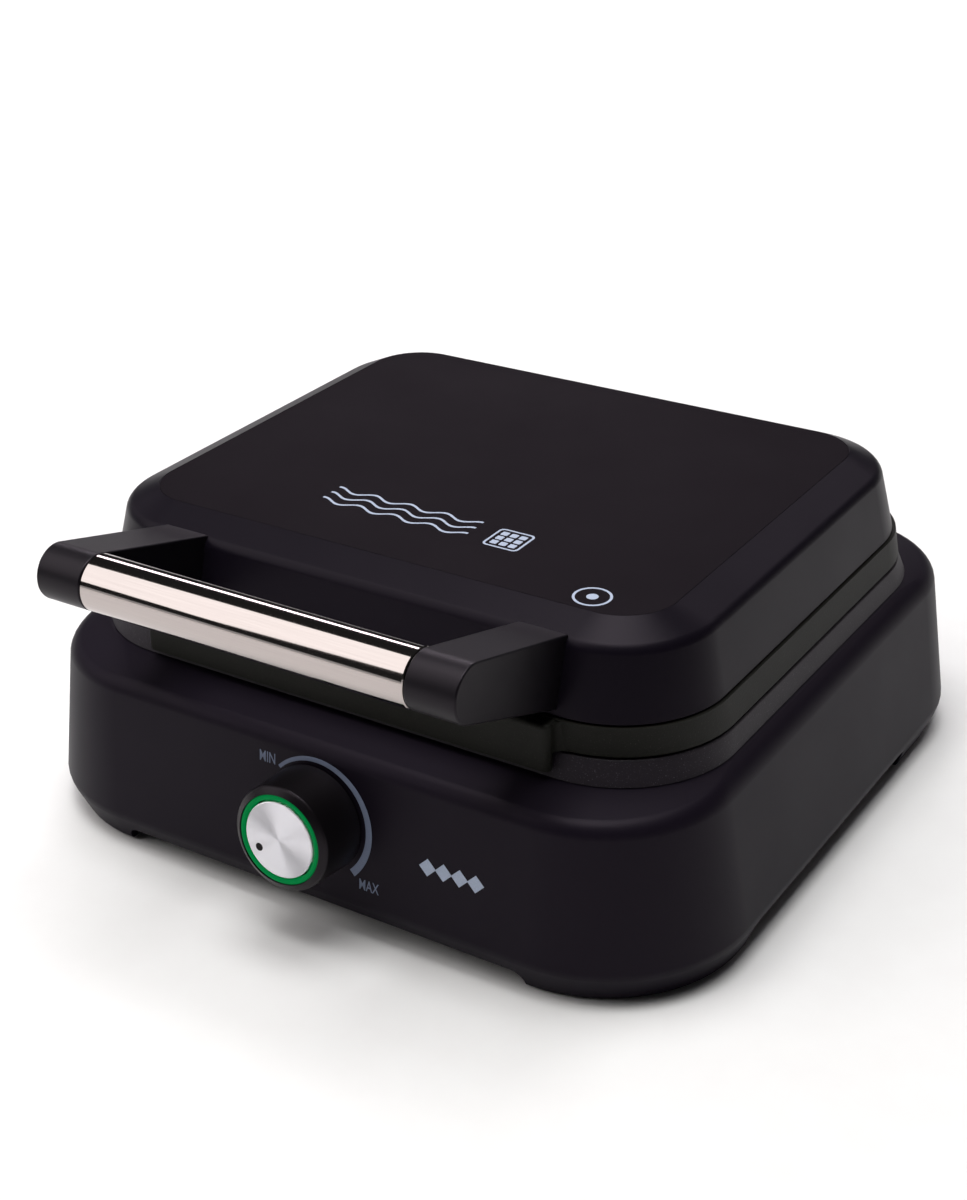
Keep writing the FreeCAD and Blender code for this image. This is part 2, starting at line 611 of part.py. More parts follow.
def thermostat():
    """Bimetal thermostat: case, threaded neck and two spade terminals."""
    case = box((-12, -11, THERMOSTAT_BACK), (12, 11, -8.0))
    neck = cylinder(5.0, (0, 0, -8.2), (0, 0, 1), 3.9)
    tabs = [box((x - 3.1, -3, THERMOSTAT_BACK - 7), (x + 3.1, -2.2, THERMOSTAT_BACK + 1))
            for x in (-6, 6)]
    bore = cylinder(SHAFT_RADIUS + RUNNING, (0, 0, SHAFT_BACK - 0.5), (0, 0, 1), 30.0)
    return knob_placed(fuse([case, neck] + tabs).cut(bore))


def thermal_fuse():
    """Cut-out clipped under the rear of the lower heat shield."""
    z = lower_back - SHIELD_DROP - 3.0
    barrel = cylinder(3.0, (-9, 40, z), (1, 0, 0), 18.0)
    leads = cylinder(0.7, (-19, 40, z), (1, 0, 0), 38.0)
    return barrel.fuse(leads)


def terminal_block():
    """Three-way screw block on the bottom cover, beside the cord inlet."""
    top = COVER_Z + COVER_THICK
    block = box((30, 92, top), (60, 106, top + 12))
    wells = [cylinder(2.6, (35 + 10 * i, 99, top + 6), (0, 0, 1), 8.0) for i in range(3)]
    ways = [cylinder(1.8, (35 + 10 * i, 80, top + 3.5), (0, 1, 0), 40.0) for i in range(3)]
    return block.cut(fuse(wells + ways))


def cord_gland():
    """Flanged bushing in the rear wall that the supply cord would pass through."""
    wall = between(SKIRT, SHOULDER, GLAND_Z - GLAND_FLANGE).half_y
    body = cylinder(GLAND_RADIUS, (GLAND_X, wall - 12, GLAND_Z), (0, 1, 0), REAR - wall + 12)
    flange = cylinder(GLAND_FLANGE, (GLAND_X, wall - 4, GLAND_Z), (0, 1, 0), REAR - wall + 2.6)
    nut = cylinder(GLAND_FLANGE, (GLAND_X, wall - 11, GLAND_Z), (0, 1, 0), 4.6)
    bore = cylinder(GLAND_BORE, (GLAND_X, wall - 20, GLAND_Z), (0, 1, 0), 50.0)
    return fuse([body, flange.cut(base_outer), nut]).cut(bore)


NODES = {
    "base_housing": base_housing,
    "bottom_cover": bottom_cover,
    "rubber_feet": rubber_feet,
    "base_screws": base_screws,
    "lower_plate_frame": lambda: plate_frame(LOWER_BAND_TOP, RIM, -1),
    "lower_mould_left": lambda: mould_floor(LOWER_BAND_TOP, -1, -1),
    "lower_mould_right": lambda: mould_floor(LOWER_BAND_TOP, -1, 1),
    "lower_plate_screws": lambda: plate_screws(LOWER_BAND_TOP.z, -1),
    "lower_heating_element": lambda: heating_element(lower_back - ELEMENT_RADIUS),
    "lower_element_clamps": lambda: element_clamps(lower_back, -1),
    "lower_heat_shield": lambda: heat_shield(lower_back, -1),
    "hinge_bracket_left": lambda: hinge_bracket(-1),
    "hinge_bracket_right": lambda: hinge_bracket(1),
    "hinge_pin_left": lambda: hinge_pin(-1),
    "hinge_pin_right": lambda: hinge_pin(1),
    "thermostat": thermostat,
    "thermostat_bracket": thermostat_bracket,
    "thermal_fuse": thermal_fuse,
    "led_board": led_board,
    "terminal_block": terminal_block,
    "cord_gland": cord_gland,
    "lid_housing": lid_housing,
    "lid_top_panel": lid_top_panel,
    "upper_plate_frame": upper_plate_frame,
    "upper_mould_left": lambda: mould_floor(UPPER_BAND_LOW, 1, -1),
    "upper_mould_right": lambda: mould_floor(UPPER_BAND_LOW, 1, 1),
    "upper_plate_screws": lambda: plate_screws(UPPER_BAND_LOW.z, 1),
    "upper_heating_element": lambda: heating_element(upper_back + ELEMENT_RADIUS),
    "upper_element_clamps": lambda: element_clamps(upper_back, 1),
    "upper_heat_shield": lambda: heat_shield(upper_back, 1),
    "lid_hinge_arm_left": lambda: lid_hinge_arm(-1),
    "lid_hinge_arm_right": lambda: lid_hinge_arm(1),
    "lid_hinge_screws": hinge_screws,
    "handle_arm_left": lambda: handle_arm(-1),
    "handle_arm_right": lambda: handle_arm(1),
    "handle_bar": handle_bar,
    "handle_tie_rod": handle_tie_rod,
    "handle_screws": handle_screws,
    "knob_body": knob_body,
    "knob_light_ring": knob_light_ring,
    "knob_face_disc": knob_face_disc,
    "thermostat_shaft": thermostat_shaft,
}

bar_front = BAR_Y - BAR_RADIUS
origin_shift = Vec(0, -(bar_front + REAR) / 2, 0)
os.makedirs("parts", exist_ok=True)
for name, make in NODES.items():
    piece = make()
    piece.translate(origin_shift)
    piece.exportStep("parts/" + name + ".step")
    bounds = piece.BoundBox
    print("%-22s solids %d valid %s  x %.1f..%.1f  y %.1f..%.1f  z %.1f..%.1f  %.1f cm3" % (
        name, len(piece.Solids), piece.isValid(), bounds.XMin, bounds.XMax,
        bounds.YMin, bounds.YMax, bounds.ZMin, bounds.ZMax, piece.Volume / 1000))
print("origin shift %.3f" % origin_shift.y)
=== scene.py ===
import math

import bmesh
import bpy
from mathutils import Matrix, Vector


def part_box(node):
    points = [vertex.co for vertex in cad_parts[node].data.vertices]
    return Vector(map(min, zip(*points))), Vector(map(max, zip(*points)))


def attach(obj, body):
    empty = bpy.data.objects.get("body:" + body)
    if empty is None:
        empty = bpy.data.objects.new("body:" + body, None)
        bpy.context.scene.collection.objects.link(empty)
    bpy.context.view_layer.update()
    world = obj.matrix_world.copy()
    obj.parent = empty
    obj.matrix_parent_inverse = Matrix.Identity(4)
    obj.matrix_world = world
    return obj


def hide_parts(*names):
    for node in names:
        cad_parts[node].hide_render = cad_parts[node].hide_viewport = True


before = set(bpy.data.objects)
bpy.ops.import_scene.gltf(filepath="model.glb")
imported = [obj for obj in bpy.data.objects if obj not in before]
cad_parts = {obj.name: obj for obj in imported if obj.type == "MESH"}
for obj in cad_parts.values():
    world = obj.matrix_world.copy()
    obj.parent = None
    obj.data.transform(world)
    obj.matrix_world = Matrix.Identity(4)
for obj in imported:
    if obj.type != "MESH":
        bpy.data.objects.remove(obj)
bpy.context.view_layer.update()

MM = 0.001

# ---------------------------------------------------------------- studio
# A pale sweep under the appliance. One tall softbox leans over the front left
# and one lies overhead; three smaller ones catch the back and left edges.
housing_low, housing_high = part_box("base_housing")
MIDDLE_Y = (housing_low[1] + housing_high[1]) / 2
AZIMUTH, ELEVATION, ROLL = 32.695, 27.047, -1.043
DISTANCE = 0.7756
AIM_HEIGHT = 65 * MM
AIM_RIGHT, AIM_UP = -11.53 * MM, -2.2 * MM
LENS = 61.25

turn = (Matrix.Rotation(math.radians(AZIMUTH), 4, "Z")
        @ Matrix.Rotation(math.radians(90 - ELEVATION), 4, "X")
        @ Matrix.Rotation(math.radians(ROLL), 4, "Z"))
camera = bpy.data.objects.new("camera", bpy.data.cameras.new("camera"))
camera.data.lens = LENS
camera.data.sensor_width = 36
camera.data.clip_start = 0.01
camera.matrix_world = (Matrix.Translation((0, MIDDLE_Y, AIM_HEIGHT)) @ turn
                       @ Matrix.Translation((AIM_RIGHT, AIM_UP, DISTANCE)))
bpy.context.scene.collection.objects.link(camera)
bpy.context.scene.camera = camera


def colour(code):
    """sRGB hex to linear red, green, blue and full alpha."""
    parts = [int(code[i:i + 2], 16) / 255 for i in (1, 3, 5)]
    return [c / 12.92 if c < 0.04045 else ((c + 0.055) / 1.055) ** 2.4 for c in parts] + [1.0]


def add(tree, kind, sockets=None, **settings):
    """Add a node with its settings; a socket takes a value or another node's output."""
    node = tree.nodes.new(kind)
    for key, value in settings.items():
        setattr(node, key, value)
    for key, value in (sockets or {}).items():
        if isinstance(value, bpy.types.NodeSocket):
            tree.links.new(value, node.inputs[key])
        else:
            node.inputs[key].default_value = value
    return node


def material(name, base, **sockets):
    """A named material with its plain shader values set on the shader's own sockets."""
    made = bpy.data.materials.new(name)
    made.use_nodes = True
    shader = made.node_tree.nodes["Principled BSDF"]
    shader.inputs["Base Color"].default_value = colour(base)
    for key, value in sockets.items():
        shader.inputs[key.replace("_", " ")].default_value = value
    return made, made.node_tree, shader


def softbox(name, place, aim, width, height, power, tone="#ffffff"):
    """Even rectangular light; sizes and places in metres, power in watts."""
    lamp = bpy.data.lights.new(name, "AREA")
    lamp.shape = "RECTANGLE"
    lamp.size = width
    lamp.size_y = height
    lamp.energy = power
    lamp.color = colour(tone)[:3]
    holder = bpy.data.objects.new(name, lamp)
    facing = (Vector(place) - Vector(aim)).to_track_quat("Z", "Y").to_matrix().to_4x4()
    holder.matrix_world = Matrix.Translation(place) @ facing
    bpy.context.scene.collection.objects.link(holder)


softbox("light_tall", (-1.06, -0.81, 1.75), (0, 0, 0.05), 1.6, 3.2, 32, "#fffcfb")
softbox("light_overhead", (0, 0, 3.0), (0, 0, 0.05), 2.0, 2.0, 76)
softbox("light_back_left", (-1.6, 2.4, 1.6), (0, 0, 0.05), 1.6, 0.45, 15, "#fff4ff")
softbox("light_back", (0.45, 2.7, 1.9), (0, 0, 0.05), 2.0, 0.5, 6.5, "#fff4ff")
softbox("light_left", (-2.7, 0.3, 1.3), (0, 0, 0.05), 1.6, 1.2, 4, "#fff4ff")

world = bpy.data.worlds.new("studio")
world.use_nodes = True
bpy.context.scene.world = world
sky = world.node_tree
way = add(sky, "ShaderNodeSeparateXYZ", {"Vector": add(sky, "ShaderNodeTexCoord").outputs["Generated"]})
fade = add(sky, "ShaderNodeMapRange", {"Value": way.outputs["Z"], "From Max": 0.04,
                                       "To Min": 0.8, "To Max": 0.02})
# Behind everything the camera sees plain white; the pieces still mirror the dark room.
seen = add(sky, "ShaderNodeLightPath").outputs["Is Camera Ray"]
shown = add(sky, "ShaderNodeMath", {0: fade.outputs["Result"], 1: seen}, operation="MAXIMUM")
sky.links.new(shown.outputs["Value"], sky.nodes["Background"].inputs["Strength"])
sky.nodes["Background"].inputs["Color"].default_value = colour("#ffffff")
bpy.context.scene.view_settings.view_transform = "Standard"

# Background paper: dull and white, with faint clouds drawn coarser than real paper fibre.
SWEEP_HALF = 6.0                          # metres
BURN_FROM, BURN_TO = 0.35, 1.1            # metres from the appliance
sweep_finish, tree, shader = material("sweep_paper", "#f3f2f1", Roughness=0.9)
at = add(tree, "ShaderNodeTexCoord").outputs["Object"]
fibre = add(tree, "ShaderNodeTexNoise", {"Vector": at, "Scale": 60.0, "Detail": 3.0})
tint = add(tree, "ShaderNodeMix", {"Factor": fibre.outputs["Fac"], "A": colour("#f1f0ef"),
                                   "B": colour("#f5f5f4")}, data_type="RGBA")
tree.links.new(tint.outputs["Result"], shader.inputs["Base Color"])
# Far from the appliance the paper burns out to white, as a well lit sweep does.
reach = add(tree, "ShaderNodeVectorMath", {0: at}, operation="LENGTH")
far = add(tree, "ShaderNodeMapRange", {"Value": reach.outputs["Value"], "From Min": BURN_FROM,
                                       "From Max": BURN_TO}, interpolation_type="SMOOTHSTEP")
seen = add(tree, "ShaderNodeLightPath").outputs["Is Camera Ray"]
burnt = add(tree, "ShaderNodeMath", {0: far.outputs["Result"], 1: seen}, operation="MULTIPLY")
tree.links.new(burnt.outputs["Value"], shader.inputs["Emission Strength"])
bm = bmesh.new()
bmesh.ops.create_grid(bm, x_segments=1, y_segments=1, size=SWEEP_HALF)
floor_mesh = bpy.data.meshes.new("sweep")
bm.to_mesh(floor_mesh)
bm.free()
floor_mesh.materials.append(sweep_finish)
sweep = bpy.data.objects.new("sweep", floor_mesh)
bpy.context.scene.collection.objects.link(sweep)


# ---------------------------------------------------------- base housing
# Injection moulded ABS in satin black: a tapered wall on a turned-in skirt,
# a soft shoulder, and a foot left at each corner by the arches between them.
FOOT = (0.8, 135.5, 130.8, 51.5)          # height, half width, half depth, corner
SKIRT = (12.4, 140.0, 135.5, 54.0)
SHOULDER = (65.6, 132.0, 130.1, 46.7)
RIM = (69.0, 126.3, 111.6, 43.0)
MOUTH = (69.0, 115.0, 93.0, 14.0)
HOUSING_WALL, RIM_WALL = 3.0, 4.0
FRONT_ARCH = (-84.0, 84.0, 6.8, 5.0)      # from, to, height, corner
SIDE_ARCH = (-75.0, 58.0, 10.2, 6.0)
CORNER_STEPS = 16


def moulded(name, base, grain_mm, depth, rough, sheen=0.1):
    """Plastic from a spark-eroded mould: fine even grain and slightly uneven gloss.

    The grain is drawn coarser than the real texture, so that it shows.
    """
    made, tree, shader = material(name, base, Roughness=rough, Specular_IOR_Level=sheen,
                                  Specular_Tint=colour("#fff0ff"))
    at = add(tree, "ShaderNodeTexCoord").outputs["Object"]
    grain = add(tree, "ShaderNodeTexNoise", {"Vector": at, "Scale": 1 / (grain_mm * MM),
                                             "Detail": 2.0, "Roughness": 0.6})
    cloud = add(tree, "ShaderNodeTexNoise", {"Vector": at, "Scale": 1 / (35 * MM), "Detail": 3.0})
    gloss = add(tree, "ShaderNodeMapRange", {"Value": cloud.outputs["Fac"], "To Min": rough - 0.04,
                                             "To Max": rough + 0.05})
    tree.links.new(gloss.outputs["Result"], shader.inputs["Roughness"])
    fleck = add(tree, "ShaderNodeMix", {"Factor": grain.outputs["Fac"], "A": colour(base),
                                        "B": [c * 1.5 for c in colour(base)[:3]] + [1.0]},
                data_type="RGBA")
    tree.links.new(fleck.outputs["Result"], shader.inputs["Base Color"])
    bump = add(tree, "ShaderNodeBump", {"Height": grain.outputs["Fac"], "Strength": 0.35,
                                        "Distance": depth * MM})
    tree.links.new(bump.outputs["Normal"], shader.inputs["Normal"])
    return made


def rounded_loop(bm, height, half_x, half_y, corner, middle=MIDDLE_Y, steps=CORNER_STEPS, at_x=0.0):
    """Edges of a flat rounded rectangle in order round it; sizes in millimetres."""
    place = Matrix.Translation((at_x * MM, middle, height * MM))
    size = Matrix.Diagonal((half_x * MM, half_y * MM, 1, 1))
    made = bmesh.ops.create_grid(bm, x_segments=1, y_segments=1, size=1.0, matrix=place @ size)
    made = bmesh.ops.bevel(bm, geom=made["verts"], offset=corner * MM, offset_type="OFFSET",
                           segments=steps, profile=0.5, affect="VERTICES", material=-1)
    face = made["verts"][0].link_faces[0]
    edges = list(face.edges)
    bmesh.ops.delete(bm, geom=[face], context="FACES_ONLY")
    return edges


def bridge(bm, loops, closed=False):
    """Skin a run of loops edge by edge; a closed run also joins the last to the first."""
    rings = [[next(v for v in edge.verts if v in loop[i - 1].verts) for i, edge in enumerate(loop)]
             for loop in loops]
    pairs = list(zip(rings, rings[1:]))
    if closed:
        pairs.append((rings[-1], rings[0]))
    for first, second in pairs:
        for i in range(len(first)):
            bm.faces.new((first[i - 1], first[i], second[i], second[i - 1]))


def soften(bm, edges, radius, steps=3):
    """Round edges off with a bevel; its size is in millimetres."""
    bmesh.ops.bevel(bm, geom=[e for e in edges if e.is_valid], offset=radius * MM,
                    offset_type="OFFSET", segments=steps, profile=0.5, affect="EDGES",
                    material=-1, clamp_overlap=True)


def finished(name, bm, body, finish, stands_for=(), sharp=35):
    """Turn a bmesh into a smooth-shaded piece that rides on its body; sharp is in degrees."""
    bmesh.ops.remove_doubles(bm, verts=bm.verts, dist=1e-6)
    bmesh.ops.recalc_face_normals(bm, faces=bm.faces)
    mesh = bpy.data.meshes.new(name)
    bm.to_mesh(mesh)
    bm.free()
    mesh.shade_smooth()
    mesh.set_sharp_from_angle(angle=math.radians(sharp))
    mesh.materials.append(finish)
    piece = bpy.data.objects.new(name, mesh)
    bpy.context.scene.collection.objects.link(piece)
    weighted = piece.modifiers.new("weighted", "WEIGHTED_NORMAL")
    weighted.keep_sharp = True
    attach(piece, body)
    if stands_for:
        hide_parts(*stands_for)
    return piece


def cut_away(piece, cutters):
    """Take closed shapes out of a piece and keep the result as its mesh."""
    bm = bmesh.new()
    for cutter in cutters:
        cutter(bm)
    mesh = bpy.data.meshes.new("cutter")
    bm.to_mesh(mesh)
    bm.free()
    tool = bpy.data.objects.new("cutter", mesh)
    bpy.context.scene.collection.objects.link(tool)
    cut = piece.modifiers.new("cut", "BOOLEAN")
    cut.operation = "DIFFERENCE"
    cut.solver = "EXACT"
    cut.object = tool
    weighted = piece.modifiers["weighted"]
    weighted.show_viewport = False
    result = bpy.data.meshes.new_from_object(piece.evaluated_get(bpy.context.evaluated_depsgraph_get()))
    piece.modifiers.remove(cut)
    weighted.show_viewport = True
    result.name = piece.name
    result.set_sharp_from_angle(angle=math.radians(35))
    piece.data = result
    bpy.data.objects.remove(tool)


def arch(bm, low, high, height, corner, along_x):
    """Rounded bar below the skirt, right through the base one way."""
    middle = Vector(((low + high) / 2 * MM, 0)) if along_x else Vector((0, (low + high) / 2 * MM))
    spread = ((high - low) * MM, 0.3) if along_x else (0.3, (high - low) * MM)
    place = Matrix.Translation((middle.x, MIDDLE_Y + middle.y, 0.5 * height * MM - 0.01))
    size = Matrix.Diagonal((spread[0], spread[1], height * MM + 0.02, 1))
    made = bmesh.ops.create_cube(bm, size=1.0, matrix=place @ size)
    long_way = 1 if along_x else 0
    edges = {e for v in made["verts"] for e in v.link_edges
             if abs(e.verts[0].co[long_way] - e.verts[1].co[long_way]) > 0.1
             and e.verts[0].co.z > 0}
    soften(bm, edges, corner, 6)


# Satin ABS: near black with a plum cast, soft wide highlights on the shoulder.
abs_satin_black = moulded("abs_satin_black", "#100c14", 0.45, 0.02, 0.46)

bm = bmesh.new()
ceiling = RIM[0] - HOUSING_WALL
inner_top = (ceiling,) + tuple(size - RIM_WALL for size in RIM[1:])
inner = [(height, x - HOUSING_WALL, y - HOUSING_WALL, corner - HOUSING_WALL)
         for height, x, y, corner in (FOOT, SKIRT, (SHOULDER[0] - HOUSING_WALL,) + SHOULDER[1:])]
levels = [FOOT, SKIRT, SHOULDER, RIM, MOUTH, (ceiling,) + MOUTH[1:], inner_top] + inner[::-1]
loops = [rounded_loop(bm, *level) for level in levels]
bridge(bm, loops, closed=True)
soften(bm, loops[2], 4.6, 6)
soften(bm, loops[1], 1.6, 4)
soften(bm, loops[3], 0.8)
soften(bm, loops[4], 0.5, 2)
soften(bm, loops[0], 0.7)
housing = finished("housing_shell", bm, "base", abs_satin_black, ["base_housing"])
cut_away(housing, [lambda bm: arch(bm, *FRONT_ARCH, True), lambda bm: arch(bm, *SIDE_ARCH, False)])


# ------------------------------------------- bottom cover, feet and screws
# A flat ABS cover closes the underside. Four rubber rings hide the screws
# that hold it, cross-slotted pan heads in zinc-plated steel.
def dress(finish, *names):
    """Give CAD pieces their real finish."""
    for name in names:
        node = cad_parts[name]
        for place in node.material_slots:
            place.material = finish


def metal(name, base, rough, streak_mm=(0.4, 0.4, 0.4), contrast=0.25):
    """Bare metal: a soft streak or mottle in both gloss and colour."""
    made, tree, shader = material(name, base, Metallic=1.0, Roughness=rough)
    at = add(tree, "ShaderNodeTexCoord").outputs["Object"]
    size = add(tree, "ShaderNodeMapping", {"Vector": at, "Scale": [1 / (s * MM) for s in streak_mm]})
    streak = add(tree, "ShaderNodeTexNoise", {"Vector": size.outputs["Vector"], "Scale": 1.0,
                                              "Detail": 3.0})
    gloss = add(tree, "ShaderNodeMapRange", {"Value": streak.outputs["Fac"],
                                             "To Min": rough * (1 - contrast),
                                             "To Max": rough * (1 + contrast)})
    tree.links.new(gloss.outputs["Result"], shader.inputs["Roughness"])
    darker = [c * (1 - 0.4 * contrast) for c in colour(base)[:3]] + [1.0]
    tint = add(tree, "ShaderNodeMix", {"Factor": streak.outputs["Fac"], "A": colour(base),
                                       "B": darker}, data_type="RGBA")
    tree.links.new(tint.outputs["Result"], shader.inputs["Base Color"])
    return made


# Zinc plate: pale mottled grey. Rubber: dead dull. Cover ABS: greyer and duller than the shell.
zinc_plated_steel = metal("zinc_plated_steel", "#b9bab4", 0.34, (0.8, 0.8, 0.8), 0.35)
moulded_rubber = moulded("moulded_rubber", "#1b1b1c", 0.5, 0.03, 0.75, 0.25)
abs_cover_black = moulded("abs_cover_black", "#19181a", 0.6, 0.03, 0.58)
dress(abs_cover_black, "bottom_cover")
dress(moulded_rubber, "rubber_feet")
dress(zinc_plated_steel, "base_screws")

# -------------------------------------------------------------- cord gland
# Flanged rubber bushing in the rear wall, ribbed outside, open for the cord.
GLAND_BORE, GLAND_BODY, GLAND_FLANGE = 3.6, 7.0, 9.4    # radii
FLANGE_DEPTH, RIB_PITCH, RIB_CUT = 9.5, 1.1, 0.5
gland_low, gland_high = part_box("cord_gland")
gland_x = (gland_low[0] + gland_high[0]) / 2
gland_z = (gland_low[2] + gland_high[2]) / 2


def spun(bm, profile, place, steps=72):
    """Revolve (radius, height) points in millimetres about the placed Z axis.

    Verts that carry a tag are already in place and stay there.
    """
    points = [bm.verts.new((radius * MM, 0, height * MM)) for radius, height in profile]
    edges = [bm.edges.new(pair) for pair in zip(points, points[1:] + points[:1])]
    edges = [e for e in edges if max(v.co.x for v in e.verts) > 1e-9]
    bmesh.ops.spin(bm, geom=points + edges, axis=(0, 0, 1), cent=(0, 0, 0),
                   angle=math.tau, steps=steps, use_merge=True)
    bmesh.ops.remove_doubles(bm, verts=bm.verts, dist=1e-7)
    bmesh.ops.transform(bm, matrix=place, verts=[v for v in bm.verts if not v.tag])
    for vert in bm.verts:
        vert.tag = True


def crisp(bm, degrees=40):
    """Edges that fold more sharply than the given angle."""
    return [e for e in bm.edges if len(e.link_faces) == 2
            and e.calc_face_angle() > math.radians(degrees)]


bm = bmesh.new()
inside, outside = gland_low[1] / MM, gland_high[1] / MM
ribs = []
for i in range(3):
    start = outside - 1.2 - RIB_PITCH * i
    ribs += [(GLAND_FLANGE - RIB_CUT, start), (GLAND_FLANGE - RIB_CUT, start - RIB_CUT),
             (GLAND_FLANGE, start - 0.7), (GLAND_FLANGE, start - 0.9)]
outline = [(GLAND_BORE, outside), (GLAND_FLANGE - 0.4, outside), (GLAND_FLANGE, outside - 0.4)] + ribs
outline += [(GLAND_FLANGE, outside - FLANGE_DEPTH), (GLAND_BODY, outside - FLANGE_DEPTH),
            (GLAND_BODY, inside), (GLAND_BORE, inside)]
to_rear = Matrix.Translation((gland_x, 0, gland_z)) @ Matrix.Rotation(math.radians(-90), 4, "X")
spun(bm, outline, to_rear)
soften(bm, crisp(bm, 60), 0.25, 2)
finished("cord_bushing", bm, "base", moulded_rubber, ["cord_gland"])

# ------------------------------------------------------------ cooking plates
# Die-cast aluminium with a dark non-stick coat. The rims are the two bands
# that show outside, and the upper one carries a lip over the front joint.
RIM_LANDING = (69.35, 125.9, 111.2, 42.7)
LOWER_FACE = (77.4, 124.0, 107.7, 42.4)
UPPER_FACE = (78.0, 124.0, 107.9, 42.4)
UPPER_TOP = (89.2, 122.8, 106.2, 39.6)
UPPER_TOP_SHIFT = -2.2
PLATE_WALL = 3.2
MOULD_X = 56.0
MOULD_DEPTH = 14.0
MOULD_MOUTH = (52.0, 86.0, 8.0)
MOULD_FLOOR = (50.0, 84.0, 6.0)
LANDING, FLOOR_EDGE = 1.4, 2.0            # flat strips round the mouth and inside the foot of the wall
STUDS = (4, 7)
STUD_PITCH = (25.0, 24.0)
STUD_BASE, STUD_TIP, STUD_HEIGHT = 7.2, 5.4, 8.0
GROOVE = (119.5, 103.3, 38.0)
SCREW_AT, WELL_RADIUS, WELL_DEPTH = (60.0, 96.0), 4.2, 1.7


def coated_casting(name, base, fleck, grain_mm=0.7, sheen=0.15):
    """Non-stick coat on a sand-textured casting: dull, pebbled, with pale specks.

    The pebbles are drawn coarser than the real sand texture, so that they show.
    """
    made, tree, shader = material(name, base, Roughness=0.55, Specular_IOR_Level=sheen)
    at = add(tree, "ShaderNodeTexCoord").outputs["Object"]
    pebble = add(tree, "ShaderNodeTexVoronoi", {"Vector": at, "Scale": 1 / (grain_mm * MM)})
    grain = add(tree, "ShaderNodeTexNoise", {"Vector": at, "Scale": 1 / (0.45 * MM), "Detail": 3.0})
    speck = add(tree, "ShaderNodeMapRange", {"Value": grain.outputs["Fac"], "From Min": 0.62,
                                             "From Max": 0.78})
    tint = add(tree, "ShaderNodeMix", {"Factor": speck.outputs["Result"], "A": colour(base),
                                       "B": colour(fleck)}, data_type="RGBA")
    tree.links.new(tint.outputs["Result"], shader.inputs["Base Color"])
    height = add(tree, "ShaderNodeMath", {0: pebble.outputs["Distance"], 1: grain.outputs["Fac"]},
                 operation="ADD")
    bump = add(tree, "ShaderNodeBump", {"Height": height.outputs["Value"], "Strength": 0.5,
                                        "Distance": 0.05 * MM})
    tree.links.new(bump.outputs["Normal"], shader.inputs["Normal"])
    return made


def hole_loop(bm, x, y, height, radius, steps=28):
    """Edges of a flat circle in order round it; sizes in millimetres."""
    place = Matrix.Translation((x * MM, MIDDLE_Y + y * MM, height * MM))
    verts = bmesh.ops.create_circle(bm, segments=steps, radius=radius * MM, matrix=place)["verts"]
    return [bm.edges.get((verts[i - 1], vert)) for i, vert in enumerate(verts)]


def fill(bm, *loops):
    """Flat face between an outer loop and the loops of its holes."""
    edges = [e for loop in loops for e in loop]
    bmesh.ops.triangle_fill(bm, edges=edges, use_beauty=True, normal=(0, 0, 1))


def stud_mesh(sign):
    """One tapered stud with a soft tip and foot, standing on z = 0."""
    bm = bmesh.new()
    sizes = [(0, STUD_BASE + 0.8), (0, STUD_BASE), (-sign * STUD_HEIGHT, STUD_TIP),
             (-sign * STUD_HEIGHT, STUD_TIP - 1.3)]
    rings = [rounded_loop(bm, z, half, half, half * 0.25, steps=2) for z, half in sizes]
    bridge(bm, rings)
    bmesh.ops.edgeloop_fill(bm, edges=rings[3])
    soften(bm, rings[2], 0.8, 2)
    soften(bm, rings[1], 0.6, 2)
    mesh = bpy.data.meshes.new("stud")
    bm.to_mesh(mesh)
    bm.free()
    return mesh


def mould(bm, side, face, sign, stud):
    """One waffle mould: sloping walls, a floor and rows of tapered studs."""
    x = side * MOULD_X
    floor_z = face + sign * MOULD_DEPTH
    land_x, land_y, land_corner = (size + LANDING for size in MOULD_MOUTH)
    landing = rounded_loop(bm, face, land_x, land_y, land_corner, at_x=x, steps=8)
    mouth = rounded_loop(bm, face, *MOULD_MOUTH, at_x=x, steps=8)
    low = rounded_loop(bm, floor_z, *MOULD_FLOOR, at_x=x, steps=8)
    floor_x, floor_y, floor_corner = (size - FLOOR_EDGE for size in MOULD_FLOOR)
    floor = rounded_loop(bm, floor_z, floor_x, floor_y, floor_corner, at_x=x, steps=8)
    bridge(bm, [landing, mouth, low, floor])
    soften(bm, mouth, 0.9)
    soften(bm, low, 1.6)
    bases = []
    for column in range(STUDS[0]):
        for row in range(STUDS[1]):
            stud_x = x + (column - (STUDS[0] - 1) / 2) * STUD_PITCH[0]
            stud_y = (row - (STUDS[1] - 1) / 2) * STUD_PITCH[1]
            before = set(bm.verts)
            bm.from_mesh(stud)
            fresh = [v for v in bm.verts if v not in before]
            bmesh.ops.translate(bm, vec=(stud_x * MM, stud_y * MM, floor_z * MM), verts=fresh)
            bases.append({e for v in fresh for e in v.link_edges if e.is_boundary})
    fill(bm, floor, *bases)
    return landing


